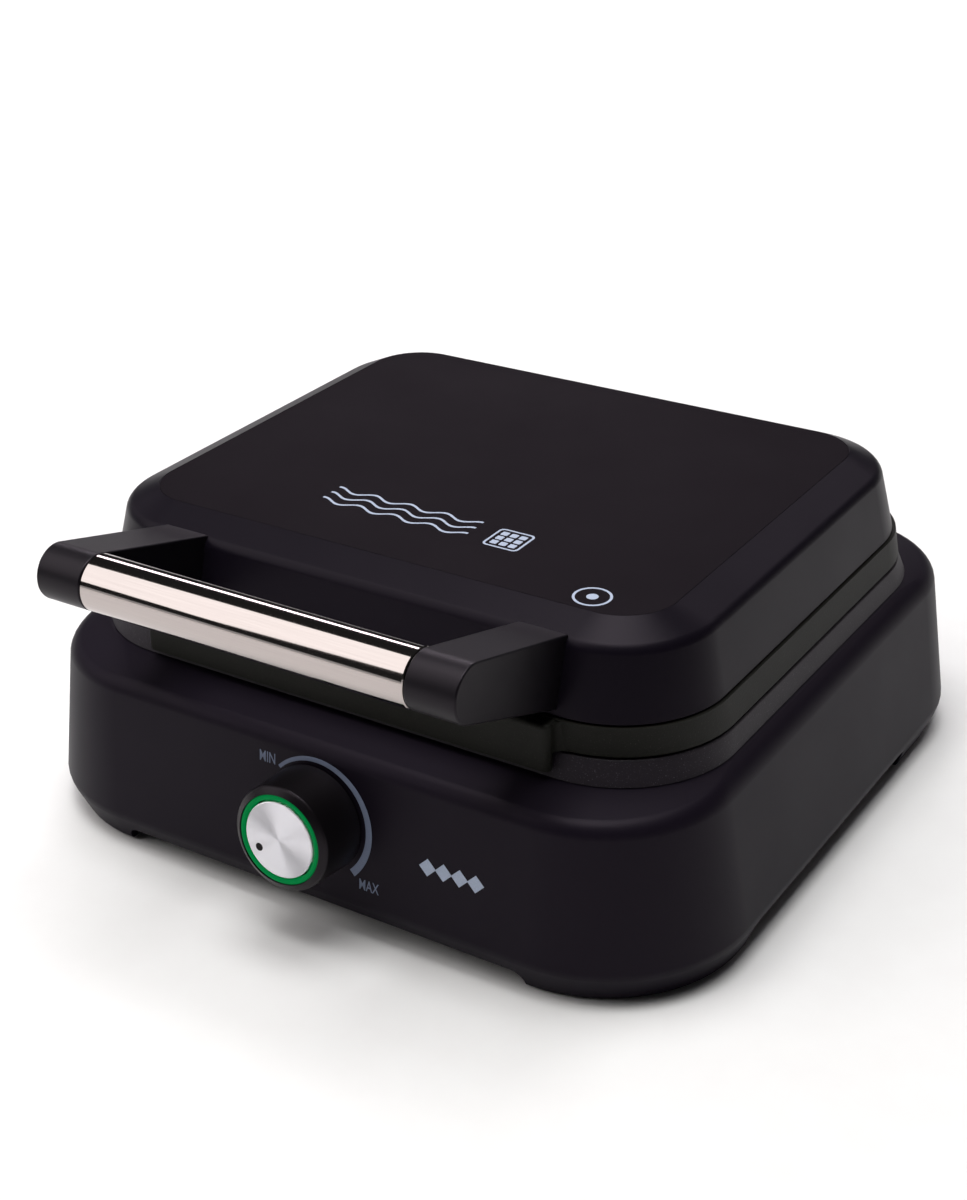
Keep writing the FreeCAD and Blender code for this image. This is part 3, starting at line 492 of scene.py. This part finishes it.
def waffle_plate(bm, face_level, band_level, band_middle, sign):
    """Closed casting with two moulds; sign is the way its back points."""
    face = face_level[0]
    back = face + sign * (MOULD_DEPTH + PLATE_WALL)
    flange = face + sign * PLATE_WALL
    band = rounded_loop(bm, *band_level, middle=band_middle)
    edge = rounded_loop(bm, *face_level)
    groove_x, groove_y, groove_corner = GROOVE
    steps = [(0.0, 0.0), (0.3, 1.0), (1.7, 1.0), (2.0, 0.0), (3.2, 0.0)]
    across = [rounded_loop(bm, face + sign * down, groove_x - inward, groove_y - inward,
                           groove_corner - inward) for inward, down in steps]
    bridge(bm, [band, edge] + across)
    soften(bm, edge, 0.7)
    stud = stud_mesh(sign)
    rings = [mould(bm, side, face, sign, stud) for side in (-1, 1)]
    wells = []
    for x in (-SCREW_AT[0], SCREW_AT[0]):
        for y in (-SCREW_AT[1], SCREW_AT[1]):
            top, low = (hole_loop(bm, x, y, z, WELL_RADIUS) for z in (face, face + sign * WELL_DEPTH))
            bridge(bm, [top, low])
            bmesh.ops.edgeloop_fill(bm, edges=low)
            wells.append(top)
    fill(bm, across[-1], *rings, *wells)
    inner = [size - PLATE_WALL for size in band_level[1:]]
    lower_inner = rounded_loop(bm, band_level[0], *inner, middle=band_middle)
    upper_inner = rounded_loop(bm, flange, *[size - PLATE_WALL for size in face_level[1:]])
    bridge(bm, [band, lower_inner, upper_inner])
    tubs = []
    for side in (-1, 1):
        size = [value + PLATE_WALL for value in MOULD_MOUTH]
        top, low = (rounded_loop(bm, z, *size, at_x=side * MOULD_X, steps=8) for z in (flange, back))
        bridge(bm, [top, low])
        bmesh.ops.edgeloop_fill(bm, edges=low)
        tubs.append(top)
    fill(bm, upper_inner, *tubs)


# The upper casting's coat reads olive black; the lower one's is plum grey with more sheen.
coat_warm_black = coated_casting("nonstick_coat_warm", "#161612", "#33332c")
coat_plum_black = coated_casting("nonstick_coat_plum", "#1c161e", "#5a535d", 0.7, 0.34)
bm = bmesh.new()
waffle_plate(bm, LOWER_FACE, RIM_LANDING, MIDDLE_Y, -1)
finished("lower_waffle_plate", bm, "base", coat_plum_black,
         ["lower_plate_frame", "lower_mould_left", "lower_mould_right"])
bm = bmesh.new()
waffle_plate(bm, UPPER_FACE, UPPER_TOP, MIDDLE_Y + UPPER_TOP_SHIFT * MM, 1)
finished("upper_waffle_plate", bm, "lid", coat_warm_black,
         ["upper_plate_frame", "upper_mould_left", "upper_mould_right"])

# --------------------------------------------------------------- front lip
# Part of the upper casting: a proud strip as wide as the two handle arms,
# which hangs over the joint between the plates at the front.
LIP = {"half": 82.5, "front": -114.0, "back": -110.9, "bottom": 72.0, "top": 89.0, "root": -106.8,
       "fillet": 3.2, "band": -107.75}
bm = bmesh.new()
strip = [(LIP["front"], LIP["bottom"]), (LIP["front"], LIP["top"]), (LIP["root"], LIP["top"]),
         (LIP["root"], UPPER_FACE[0]), (LIP["back"], UPPER_FACE[0]), (LIP["back"], LIP["bottom"])]


def slab(bm, outline, x_from, x_to):
    """Push a (y, z) outline in millimetres from the middle of the base along X."""
    verts = [bm.verts.new((x_from * MM, MIDDLE_Y + y * MM, z * MM)) for y, z in outline]
    face = bm.faces.new(verts)
    made = bmesh.ops.extrude_face_region(bm, geom=[face])
    moved = [v for v in made["geom"] if isinstance(v, bmesh.types.BMVert)]
    bmesh.ops.translate(bm, vec=((x_to - x_from) * MM, 0, 0), verts=moved)
    return verts + moved


slab(bm, strip, -LIP["half"], LIP["half"])
front_y = MIDDLE_Y + LIP["front"] * MM
uprights = [e for e in bm.edges if all(abs(v.co.y - front_y) < 1e-6 for v in e.verts)
            and abs(e.verts[0].co.z - e.verts[1].co.z) > 0.01]
soften(bm, uprights, 2.4, 5)
tops = [e for e in bm.edges if all(v.co.z > (LIP["top"] - 0.01) * MM for v in e.verts)
        and any(v.co.y < MIDDLE_Y + (LIP["root"] - 1) * MM for v in e.verts)]
soften(bm, tops, 1.6, 4)
soften(bm, crisp(bm, 50), 0.5, 2)
# A hollow fillet in each inner corner, where an end of the lip meets the band.
FILLET_STEPS = 12
turns = [math.radians(180 - 90 * i / FILLET_STEPS) for i in range(FILLET_STEPS + 1)]
for side in (-1, 1):
    bend = [(LIP["half"] + LIP["fillet"] * (1 + math.cos(turned)),
             LIP["band"] + LIP["fillet"] * (math.sin(turned) - 1)) for turned in turns]
    corner = [(LIP["half"] - 1, bend[0][1]), *bend, (bend[-1][0], LIP["root"]),
              (LIP["half"] - 1, LIP["root"])]
    foot = bm.faces.new([bm.verts.new((side * x * MM, MIDDLE_Y + y * MM, (UPPER_FACE[0] + 0.1) * MM))
                         for x, y in corner])
    made = bmesh.ops.extrude_face_region(bm, geom=[foot])
    raised = [v for v in made["geom"] if isinstance(v, bmesh.types.BMVert)]
    bmesh.ops.translate(bm, vec=(0, 0, (LIP["top"] - UPPER_FACE[0] - 0.5) * MM), verts=raised)
finished("front_lip", bm, "lid", coat_warm_black)

# ------------------------------------------------------------ plate screws
# Countersunk steel screws in the faces of both plates, heat tinted.
# Steel browned by heat: a dull brown grey.
tinted_steel = metal("heat_tinted_steel", "#6f675c", 0.38, (1.5, 1.5, 1.5), 0.4)
dress(tinted_steel, "lower_plate_screws", "upper_plate_screws")

# ------------------------------------------------------------- lid housing
# Moulded ABS cover in the same satin black: tapered wall, broad chamfer and a
# seat for the flat top panel.
LID_LOW = (89.8, 122.0, 104.7, 38.9)
LID_CREASE = (113.9, 116.9, 98.5, 34.3)
LID_TOP = (119.4, 104.2, 86.1, 19.8)
LID_MIDDLE = MIDDLE_Y - 2.9 * MM
PANEL_THICK = 1.8
PANEL_GAP = 0.1
LID_WALL, LEDGE_WIDTH, LEDGE_THICK = 3, 8, 2.4


def shrunk(level, amount, height=None):
    """A level drawn in by an amount all round, at its own height or another."""
    return (level[0] if height is None else height,) + tuple(size - amount for size in level[1:])


# The same ABS, a shade darker and glossier: a tighter highlight on the chamfer.
abs_lid_black = moulded("abs_lid_black", "#0c0910", 0.45, 0.02, 0.37, 0.1)
seat = LID_TOP[0] - PANEL_THICK
levels = [LID_LOW, LID_CREASE, LID_TOP, shrunk(LID_TOP, PANEL_GAP, LID_TOP[0] - 0.05),
          shrunk(LID_TOP, PANEL_GAP, seat), shrunk(LID_TOP, LEDGE_WIDTH, seat),
          shrunk(LID_TOP, LEDGE_WIDTH, seat - LEDGE_THICK), shrunk(LID_TOP, LID_WALL, seat - LEDGE_THICK),
          shrunk(LID_CREASE, LID_WALL, LID_CREASE[0] - 1.2), shrunk(LID_LOW, LID_WALL)]
bm = bmesh.new()
loops = [rounded_loop(bm, *level, middle=LID_MIDDLE) for level in levels]
bridge(bm, loops, closed=True)
soften(bm, loops[1], 2.4, 5)
soften(bm, loops[0], 0.6)
finished("lid_cover", bm, "lid", abs_lid_black, ["lid_housing"])

# --------------------------------------------------------------- top panel
# Flat ABS panel with a duller texture than the rest, set flush in the chamfered rim.
# Matte ABS: hardly any highlight, so the panel stays one flat dark tone.
abs_panel_matte = moulded("abs_panel_matte", "#0e0a0e", 0.6, 0.03, 0.6, 0.04)
bm = bmesh.new()
edge = shrunk(LID_TOP, 2 * PANEL_GAP)
top = rounded_loop(bm, *edge, middle=LID_MIDDLE)
low = rounded_loop(bm, *shrunk(edge, 0, seat + 0.02), middle=LID_MIDDLE)
bridge(bm, [top, low])
bmesh.ops.edgeloop_fill(bm, edges=top)
bmesh.ops.edgeloop_fill(bm, edges=low)
soften(bm, crisp(bm), 0.2, 2)
finished("top_panel", bm, "lid", abs_panel_matte, ["lid_top_panel"])

# ----------------------------------------------------------- hidden insides
# Heating elements, shields, clamps and controls: seen only with the covers
# off, so their CAD shapes stay and take the finish of the real parts.
# Brown tinted element tube, brown bakelite, cream ceramic and a green lacquered board.
tinted_sheath = metal("element_sheath", "#4a423c", 0.45, (2.0, 2.0, 2.0), 0.3)
bakelite = moulded("bakelite_case", "#2a221e", 0.5, 0.02, 0.4)
ceramic = moulded("steatite_block", "#cfc8b8", 0.4, 0.02, 0.5)
board_lacquer = moulded("lacquered_board", "#14502a", 0.6, 0.01, 0.3)
dress(tinted_sheath, "lower_heating_element", "upper_heating_element")
dress(zinc_plated_steel, "lower_element_clamps", "upper_element_clamps", "lower_heat_shield",
      "upper_heat_shield", "thermostat_bracket", "thermostat_shaft", "handle_tie_rod",
      "handle_screws", "lid_hinge_screws", "thermal_fuse")
dress(bakelite, "thermostat")
dress(ceramic, "terminal_block")
dress(board_lacquer, "led_board")

# ------------------------------------------------------------------- hinge
# Two moulded brackets on the rear shoulder hold steel pins; a moulded arm
# from the rear wall of the lid turns on each pin between the two ears.
HINGE_Y, HINGE_Z, HINGE_X = 120.0, 82.0, 75.0
KNUCKLE_HALF, EAR_GAP, EAR_THICK = 7.5, 0.5, 5.0
EAR_RADIUS, KNUCKLE_RADIUS, PIN_RADIUS = 7.0, 6.5, 2.5
STAND_FOOT, STAND_BRIDGE = 64.0, 73.4     # heights of the stand's foot and of the web between its ears


def tab(bm, y, z_low, z_axis, radius, x_from, x_to):
    """Upright tab with a round end about the hinge axis."""
    outline = [(y - radius, z_low), (y + radius, z_low), (y + radius, z_axis + radius),
               (y - radius, z_axis + radius)]
    verts = slab(bm, outline, x_from, x_to)
    high = [e for e in bm.edges if all(v in verts and v.co.z > z_axis * MM for v in e.verts)
            and abs(e.verts[0].co.x - e.verts[1].co.x) > 1e-4]
    soften(bm, high, radius - 0.01, 14)


for name, side in (("left", -1), ("right", 1)):
    bm = bmesh.new()
    middle = side * HINGE_X
    inner = KNUCKLE_HALF + EAR_GAP
    for way in (-1, 1):
        ends = sorted((middle + way * inner, middle + way * (inner + EAR_THICK)))
        tab(bm, HINGE_Y, STAND_FOOT, HINGE_Z, EAR_RADIUS, *ends)
    back, fore = HINGE_Y + EAR_RADIUS - 0.3, HINGE_Y - EAR_RADIUS + 0.3
    slab(bm, [(fore, STAND_FOOT), (back, STAND_FOOT), (back, STAND_BRIDGE), (fore, STAND_BRIDGE)],
         middle - inner - 1, middle + inner + 1)
    soften(bm, crisp(bm, 60), 0.6, 3)
    finished("hinge_stand_" + name, bm, "base", abs_cover_black,
             ["hinge_bracket_" + name])

    bm = bmesh.new()
    half = inner + EAR_THICK
    dome = [(0, half + 1.2), (1.6, half + 1.15), (2.9, half + 0.9), (3.7, half + 0.45),
            (3.8, half + 0.02), (PIN_RADIUS, half + 0.02), (PIN_RADIUS, -half),
            (PIN_RADIUS - 0.4, -half - 0.02), (0, -half - 0.02)]
    across = Matrix.Rotation(math.radians(side * 90), 4, "Y")
    spun(bm, dome, Matrix.Translation((middle * MM, MIDDLE_Y + HINGE_Y * MM, HINGE_Z * MM)) @ across, 40)
    finished("hinge_pin_" + name + "_turned", bm, "base", zinc_plated_steel,
             ["hinge_pin_" + name])

    bm = bmesh.new()
    y, z, r = HINGE_Y, HINGE_Z, KNUCKLE_RADIUS
    web = [(y - 1, z + r - 0.1), (y - 10, z + 15), (y - 22, z + 15), (y - 22, z + 8.4),
           (y - 13.4, z + 8.4), (y - 10.6, z + 1.6), (y - r + 0.4, z - 1.0), (y - 2, z - r + 0.5),
           (y + 1, z)]
    slab(bm, web, middle - KNUCKLE_HALF + 0.2, middle + KNUCKLE_HALF - 0.2)
    soften(bm, crisp(bm, 25), 0.7, 3)
    knuckle = [(PIN_RADIUS + 0.06, -KNUCKLE_HALF), (r - 0.6, -KNUCKLE_HALF), (r, -KNUCKLE_HALF + 0.6),
               (r, KNUCKLE_HALF - 0.6), (r - 0.6, KNUCKLE_HALF), (PIN_RADIUS + 0.06, KNUCKLE_HALF)]
    for vert in bm.verts:
        vert.tag = True
    spun(bm, knuckle, Matrix.Translation((middle * MM, MIDDLE_Y + y * MM, z * MM)) @ across, 48)
    finished("hinge_knuckle_" + name, bm, "lid", abs_cover_black,
             ["lid_hinge_arm_" + name])

# ------------------------------------------------------------------ handle
# Two moulded arms rise from the front wall of the lid. A polished stainless
# tube of the same roundness as their noses is drawn between them by a rod.
BAR_Y, BAR_Z, BAR_RADIUS = -154.6, 120.9, 9.8
ARM_INNER, ARM_OUTER = 63.0, 81.5
ARM_TOP_SLOPE, ARM_BOTTOM_SLOPE = math.radians(16.0), math.radians(21.5)
ARM_ROOT = -99.0
BAR_GAP = 0.25

# Glossier ABS: the tops of the arms catch the lights while their sides stay dark.
abs_arm_black = moulded("abs_arm_black", "#060508", 0.45, 0.02, 0.4, 0.22)
for name, side in (("left", -1), ("right", 1)):
    bm = bmesh.new()
    nose = Matrix.Translation((side * ARM_INNER * MM, MIDDLE_Y + BAR_Y * MM, BAR_Z * MM))
    made = bmesh.ops.create_circle(bm, segments=96, radius=BAR_RADIUS * MM,
                                   matrix=nose @ Matrix.Rotation(math.radians(90), 4, "Y"))
    verts = made["verts"]
    reach = ARM_ROOT - BAR_Y
    top = (reach, BAR_RADIUS / math.cos(ARM_TOP_SLOPE) - reach * math.tan(ARM_TOP_SLOPE))
    low = (reach, -BAR_RADIUS / math.cos(ARM_BOTTOM_SLOPE) - reach * math.tan(ARM_BOTTOM_SLOPE))
    for y, z in (top, low):
        verts.append(bm.verts.new(nose @ Vector((0, y * MM, z * MM))))
    twins = bmesh.ops.duplicate(bm, geom=verts)["geom"]
    twins = [v for v in twins if isinstance(v, bmesh.types.BMVert)]
    bmesh.ops.translate(bm, vec=(side * (ARM_OUTER - ARM_INNER) * MM, 0, 0), verts=twins)
    hull = bmesh.ops.convex_hull(bm, input=verts + twins)
    spare = [v for v in hull["geom_interior"] if isinstance(v, bmesh.types.BMVert)]
    bmesh.ops.delete(bm, geom=spare, context="VERTS")
    bmesh.ops.dissolve_limit(bm, angle_limit=math.radians(1), verts=bm.verts, edges=bm.edges)
    soften(bm, crisp(bm, 50), 0.7, 3)
    finished("grip_arm_" + name, bm, "lid", abs_arm_black, ["handle_arm_" + name])

# Drawn tube, mirror polished; the buffing leaves faint lines along its length, drawn coarser
# than real ones.
polished_stainless = metal("polished_stainless", "#bdb4b1", 0.08, (30.0, 0.5, 0.5), 0.35)
bm = bmesh.new()
half = ARM_INNER - BAR_GAP
tube = [(BAR_RADIUS - 0.35, half), (BAR_RADIUS, half - 0.35), (BAR_RADIUS, 0.35 - half),
        (BAR_RADIUS - 0.35, -half), (BAR_RADIUS - 1.2, -half), (BAR_RADIUS - 1.2, half)]
along = (Matrix.Translation((0, MIDDLE_Y + BAR_Y * MM, BAR_Z * MM))
         @ Matrix.Rotation(math.radians(90), 4, "Y"))
spun(bm, tube, along, 128)
finished("grip_tube", bm, "lid", polished_stainless, ["handle_bar"])

# -------------------------------------------------------------------- knob
# Hollow moulded knob with a bevelled front, a lit green ring set into it and
# a spun aluminium disc with one dark pointer dot. Off is at eight o'clock.
KNOB_X, KNOB_Z = 2.6, 39.8
wall_tilt = math.atan2(SKIRT[2] - SHOULDER[2], SHOULDER[0] - SKIRT[0])
wall_y = MIDDLE_Y - (SKIRT[2] - (KNOB_Z - SKIRT[0]) * math.tan(wall_tilt)) * MM
on_wall = (Matrix.Translation((KNOB_X * MM, wall_y, KNOB_Z * MM))
           @ Matrix.Rotation(math.radians(90) - wall_tilt, 4, "X"))
POINTER_ANGLE = math.radians(-121.9)
POINTER_RADIUS = 9.4

# Close-grained ABS: a sharp dark bevel round the front of the knob.
abs_knob_black = moulded("abs_knob_black", "#0c0a0c", 0.4, 0.015, 0.36, 0.2)
bm = bmesh.new()
body = [(0, 17.0), (16.05, 17.0), (16.05, 19.9), (16.25, 20.1), (18.0, 19.1), (18.55, 18.55),
        (18.8, 17.9), (19.3, 1.0), (17.3, 1.0), (16.6, 15.0), (0, 15.0)]
spun(bm, body, on_wall, 128)
finished("knob_shell", bm, "knob", abs_knob_black, ["knob_body"])

# Translucent green polycarbonate, lit from behind by the lamp board.
ring_glow, tree, shader = material("green_light_guide", "#00713a", Roughness=0.45,
                                   Specular_IOR_Level=0.03, Emission_Strength=0.38)
shader.inputs["Emission Color"].default_value = colour("#009c4c")
at = add(tree, "ShaderNodeTexCoord").outputs["Object"]
patch = add(tree, "ShaderNodeTexNoise", {"Vector": at, "Scale": 1 / (9 * MM), "Detail": 1.0})
tint = add(tree, "ShaderNodeMix", {"Factor": patch.outputs["Fac"], "A": colour("#00301a"),
                                   "B": colour("#005a30")}, data_type="RGBA")
tree.links.new(tint.outputs["Result"], shader.inputs["Base Color"])
bm = bmesh.new()
ring = [(14.15, 17.05), (15.95, 17.05), (15.95, 19.5), (15.75, 19.85), (15.35, 20.05), (14.75, 20.05),
        (14.35, 19.85), (14.15, 19.5)]
spun(bm, ring, on_wall, 128)
finished("knob_glow_ring", bm, "knob", ring_glow, ["knob_light_ring"])

# Turned on a lathe: concentric tool lines, drawn coarser than real ones, spread the light
# into wedges.
spun_aluminium, tree, shader = material("spun_aluminium", "#e6e5ea", Metallic=1.0, Roughness=0.48,
                                        Anisotropic=0.9)
lay = add(tree, "ShaderNodeTangent", direction_type="UV_MAP", uv_map="lathe")
tree.links.new(lay.outputs["Tangent"], shader.inputs["Tangent"])
turned = add(tree, "ShaderNodeUVMap", uv_map="lathe").outputs["UV"]
size = add(tree, "ShaderNodeMapping", {"Vector": turned, "Scale": (5.0, 1 / (0.12 * MM), 1.0)})
lines = add(tree, "ShaderNodeTexNoise", {"Vector": size.outputs["Vector"], "Scale": 1.0, "Detail": 2.0})
bump = add(tree, "ShaderNodeBump", {"Height": lines.outputs["Fac"], "Strength": 0.12,
                                    "Distance": 0.01 * MM})
tree.links.new(bump.outputs["Normal"], shader.inputs["Normal"])
bm = bmesh.new()
disc = [(0, 17.1), (13.6, 17.1), (13.6, 19.85), (13.3, 20.1), (0, 20.1)]
spun(bm, disc, on_wall, 128)
lathe = bm.loops.layers.uv.new("lathe")
flat = on_wall.inverted()
for face in bm.faces:
    centre = flat @ face.calc_center_median()
    for loop in face.loops:
        spot = flat @ loop.vert.co
        radius = math.hypot(spot.x, spot.y)
        angle = math.atan2(spot.y, spot.x) if radius > 1e-6 else math.atan2(centre.y, centre.x)
        if abs(angle - math.atan2(centre.y, centre.x)) > math.pi:
            angle += math.tau if angle < 0 else -math.tau
        loop[lathe].uv = (angle / math.tau, radius)
finished("knob_disc", bm, "knob", spun_aluminium, ["knob_face_disc"])

# The pointer is a small dimple filled with black paint.
print_black = moulded("pointer_paint", "#141312", 0.3, 0.01, 0.4)
bm = bmesh.new()
pointer = on_wall @ Matrix.Translation((POINTER_RADIUS * math.sin(POINTER_ANGLE) * MM,
                                        POINTER_RADIUS * math.cos(POINTER_ANGLE) * MM, 0))
spun(bm, [(0, 20.13), (1.0, 20.14), (1.35, 20.17), (1.45, 20.1), (0, 20.05)], pointer, 32)
finished("knob_pointer", bm, "knob", print_black)

# ----------------------------------------------------------- printed marks
# Pad-printed grey ink: a widening arc from MIN to MAX round the knob and a
# plain row of lozenges beside it.
ARC_FROM, ARC_TO = -46.0, 136.0            # degrees clockwise from the top
ARC_INNER, ARC_OUTER = 20.2, 21.5
INNER_GROWS, OUTER_GROWS = 0.9, 2.4        # by the end at MAX
INK_LIFT, INK_THICK = 0.02, 0.06

# Pad-printing ink: a flat blue grey film, darker round the dial than elsewhere.
ink_slate = moulded("pad_print_slate", "#6b7488", 0.4, 0.01, 0.5)
ink_pale = moulded("pad_print_pale", "#9aa4b6", 0.4, 0.01, 0.5)


def inked(name, bm, body, place, ink):
    """Give flat faces at z = 0 the thickness of ink and lay them in place."""
    made = bmesh.ops.extrude_face_region(bm, geom=bm.faces[:])
    raised = [v for v in made["geom"] if isinstance(v, bmesh.types.BMVert)]
    bmesh.ops.translate(bm, vec=(0, 0, INK_THICK * MM), verts=raised)
    bmesh.ops.transform(bm, matrix=place @ Matrix.Translation((0, 0, (INK_LIFT - INK_THICK / 2) * MM)),
                        verts=bm.verts)
    finished(name, bm, body, ink)


bm = bmesh.new()
ends = [bm.verts.new((0, radius * MM, 0)) for radius in (ARC_INNER, ARC_OUTER)]
line = bm.edges.new(ends)
bmesh.ops.rotate(bm, cent=(0, 0, 0), matrix=Matrix.Rotation(math.radians(-ARC_FROM), 3, "Z"), verts=ends)
bmesh.ops.spin(bm, geom=ends + [line], axis=(0, 0, -1), cent=(0, 0, 0),
               angle=math.radians(ARC_TO - ARC_FROM), steps=90)
for vert in bm.verts:
    swept = (math.degrees(math.atan2(vert.co.x, vert.co.y)) - ARC_FROM) % 360 / (ARC_TO - ARC_FROM)
    grows = INNER_GROWS if vert.co.length < (ARC_INNER + ARC_OUTER) / 2 * MM else OUTER_GROWS
    vert.co *= 1 + grows * swept * MM / vert.co.length
inked("dial_arc", bm, "base", on_wall, ink_slate)


def dial_word(word, left, bottom, width, height):
    """A short word, fitted to its width and height on the front wall."""
    curve = bpy.data.curves.new("word", "FONT")
    curve.body = word
    curve.offset = 0.003
    curve.extrude = INK_THICK * MM / 2
    holder = bpy.data.objects.new("word", curve)
    bpy.context.scene.collection.objects.link(holder)
    mesh = bpy.data.meshes.new_from_object(holder.evaluated_get(bpy.context.evaluated_depsgraph_get()))
    bpy.data.objects.remove(holder)
    bm = bmesh.new()
    bm.from_mesh(mesh)
    xs = [v.co.x for v in bm.verts]
    ys = [v.co.y for v in bm.verts]
    fit = Matrix.Diagonal((width * MM / (max(xs) - min(xs)), height * MM / (max(ys) - min(ys)), 1, 1))
    home = Matrix.Translation((left * MM, bottom * MM, INK_LIFT * MM))
    bmesh.ops.transform(bm, matrix=on_wall @ home @ fit @ Matrix.Translation((-min(xs), -min(ys), 0)),
                        verts=bm.verts)
    finished("dial_" + word.lower(), bm, "base", ink_slate)


dial_word("MIN", -23.3, 14.6, 6.5, 4.0)
dial_word("MAX", 18.6, -21.2, 7.9, 4.0)

LOZENGES = {"count": 4, "first": 45.5, "pitch": 6.2, "up": -4.2, "half": 2.3}
bm = bmesh.new()
for i in range(LOZENGES["count"]):
    place = (Matrix.Translation(((LOZENGES["first"] + LOZENGES["pitch"] * i) * MM, LOZENGES["up"] * MM, 0))
             @ Matrix.Rotation(math.radians(45), 4, "Z"))
    bmesh.ops.create_grid(bm, x_segments=1, y_segments=1, size=LOZENGES["half"] * MM, matrix=place)
inked("front_lozenges", bm, "base", on_wall, ink_pale)

# Marks on the lid: three waves, a plain square grid, and a ring near the corner.
on_lid = Matrix.Translation((0, MIDDLE_Y, LID_TOP[0] * MM))
WAVES = {"left": -42.0, "right": 19.0, "bottom": -61.5, "gap": 5.0, "width": 1.1, "swing": 1.5,
         "length": 15.0}
bm = bmesh.new()
for row in range(3):
    length = WAVES["right"] - WAVES["left"]
    place = Matrix.Translation(((WAVES["left"] + length / 2) * MM,
                                (WAVES["bottom"] + WAVES["gap"] * row) * MM, 0))
    size = Matrix.Diagonal((length / 2 * MM, WAVES["width"] / 2 * MM, 1, 1))
    made = bmesh.ops.create_grid(bm, x_segments=60, y_segments=1, size=1.0, matrix=place @ size)
    for vert in made["verts"]:
        vert.co.y += WAVES["swing"] * MM * math.sin(vert.co.x / MM * math.tau / WAVES["length"])
inked("lid_waves", bm, "lid", on_lid, ink_pale)

GRID = {"x": 33.8, "y": -57.5, "pitch": 3.6, "cell": (1.35, 1.35, 0.4), "outer": (7.0, 7.0, 2.0),
        "inner": (6.2, 6.2, 1.4)}
bm = bmesh.new()
for column in range(3):
    for row in range(3):
        cell = rounded_loop(bm, 0, *GRID["cell"], (GRID["y"] + GRID["pitch"] * (row - 1)) * MM, 3,
                            GRID["x"] + GRID["pitch"] * (column - 1))
        bmesh.ops.edgeloop_fill(bm, edges=cell)
frame_out, frame_in = (rounded_loop(bm, 0, *GRID[rim], GRID["y"] * MM, 6, GRID["x"])
                       for rim in ("outer", "inner"))
bridge(bm, [frame_out, frame_in])
inked("lid_grid", bm, "lid", on_lid, ink_pale)

RING = {"x": 79.0, "y": -80.0, "outer": 6.6, "inner": 5.7, "dot": 2.0}
bm = bmesh.new()
ring_out = hole_loop(bm, 0, 0, 0, RING["outer"], 48)
ring_in = hole_loop(bm, 0, 0, 0, RING["inner"], 48)
dot = hole_loop(bm, 0, 0, 0, RING["dot"], 32)
bridge(bm, [ring_out, ring_in])
bmesh.ops.edgeloop_fill(bm, edges=dot)
bmesh.ops.translate(bm, vec=(RING["x"] * MM, RING["y"] * MM - MIDDLE_Y, 0), verts=bm.verts)
inked("lid_ring", bm, "lid", on_lid, ink_pale)
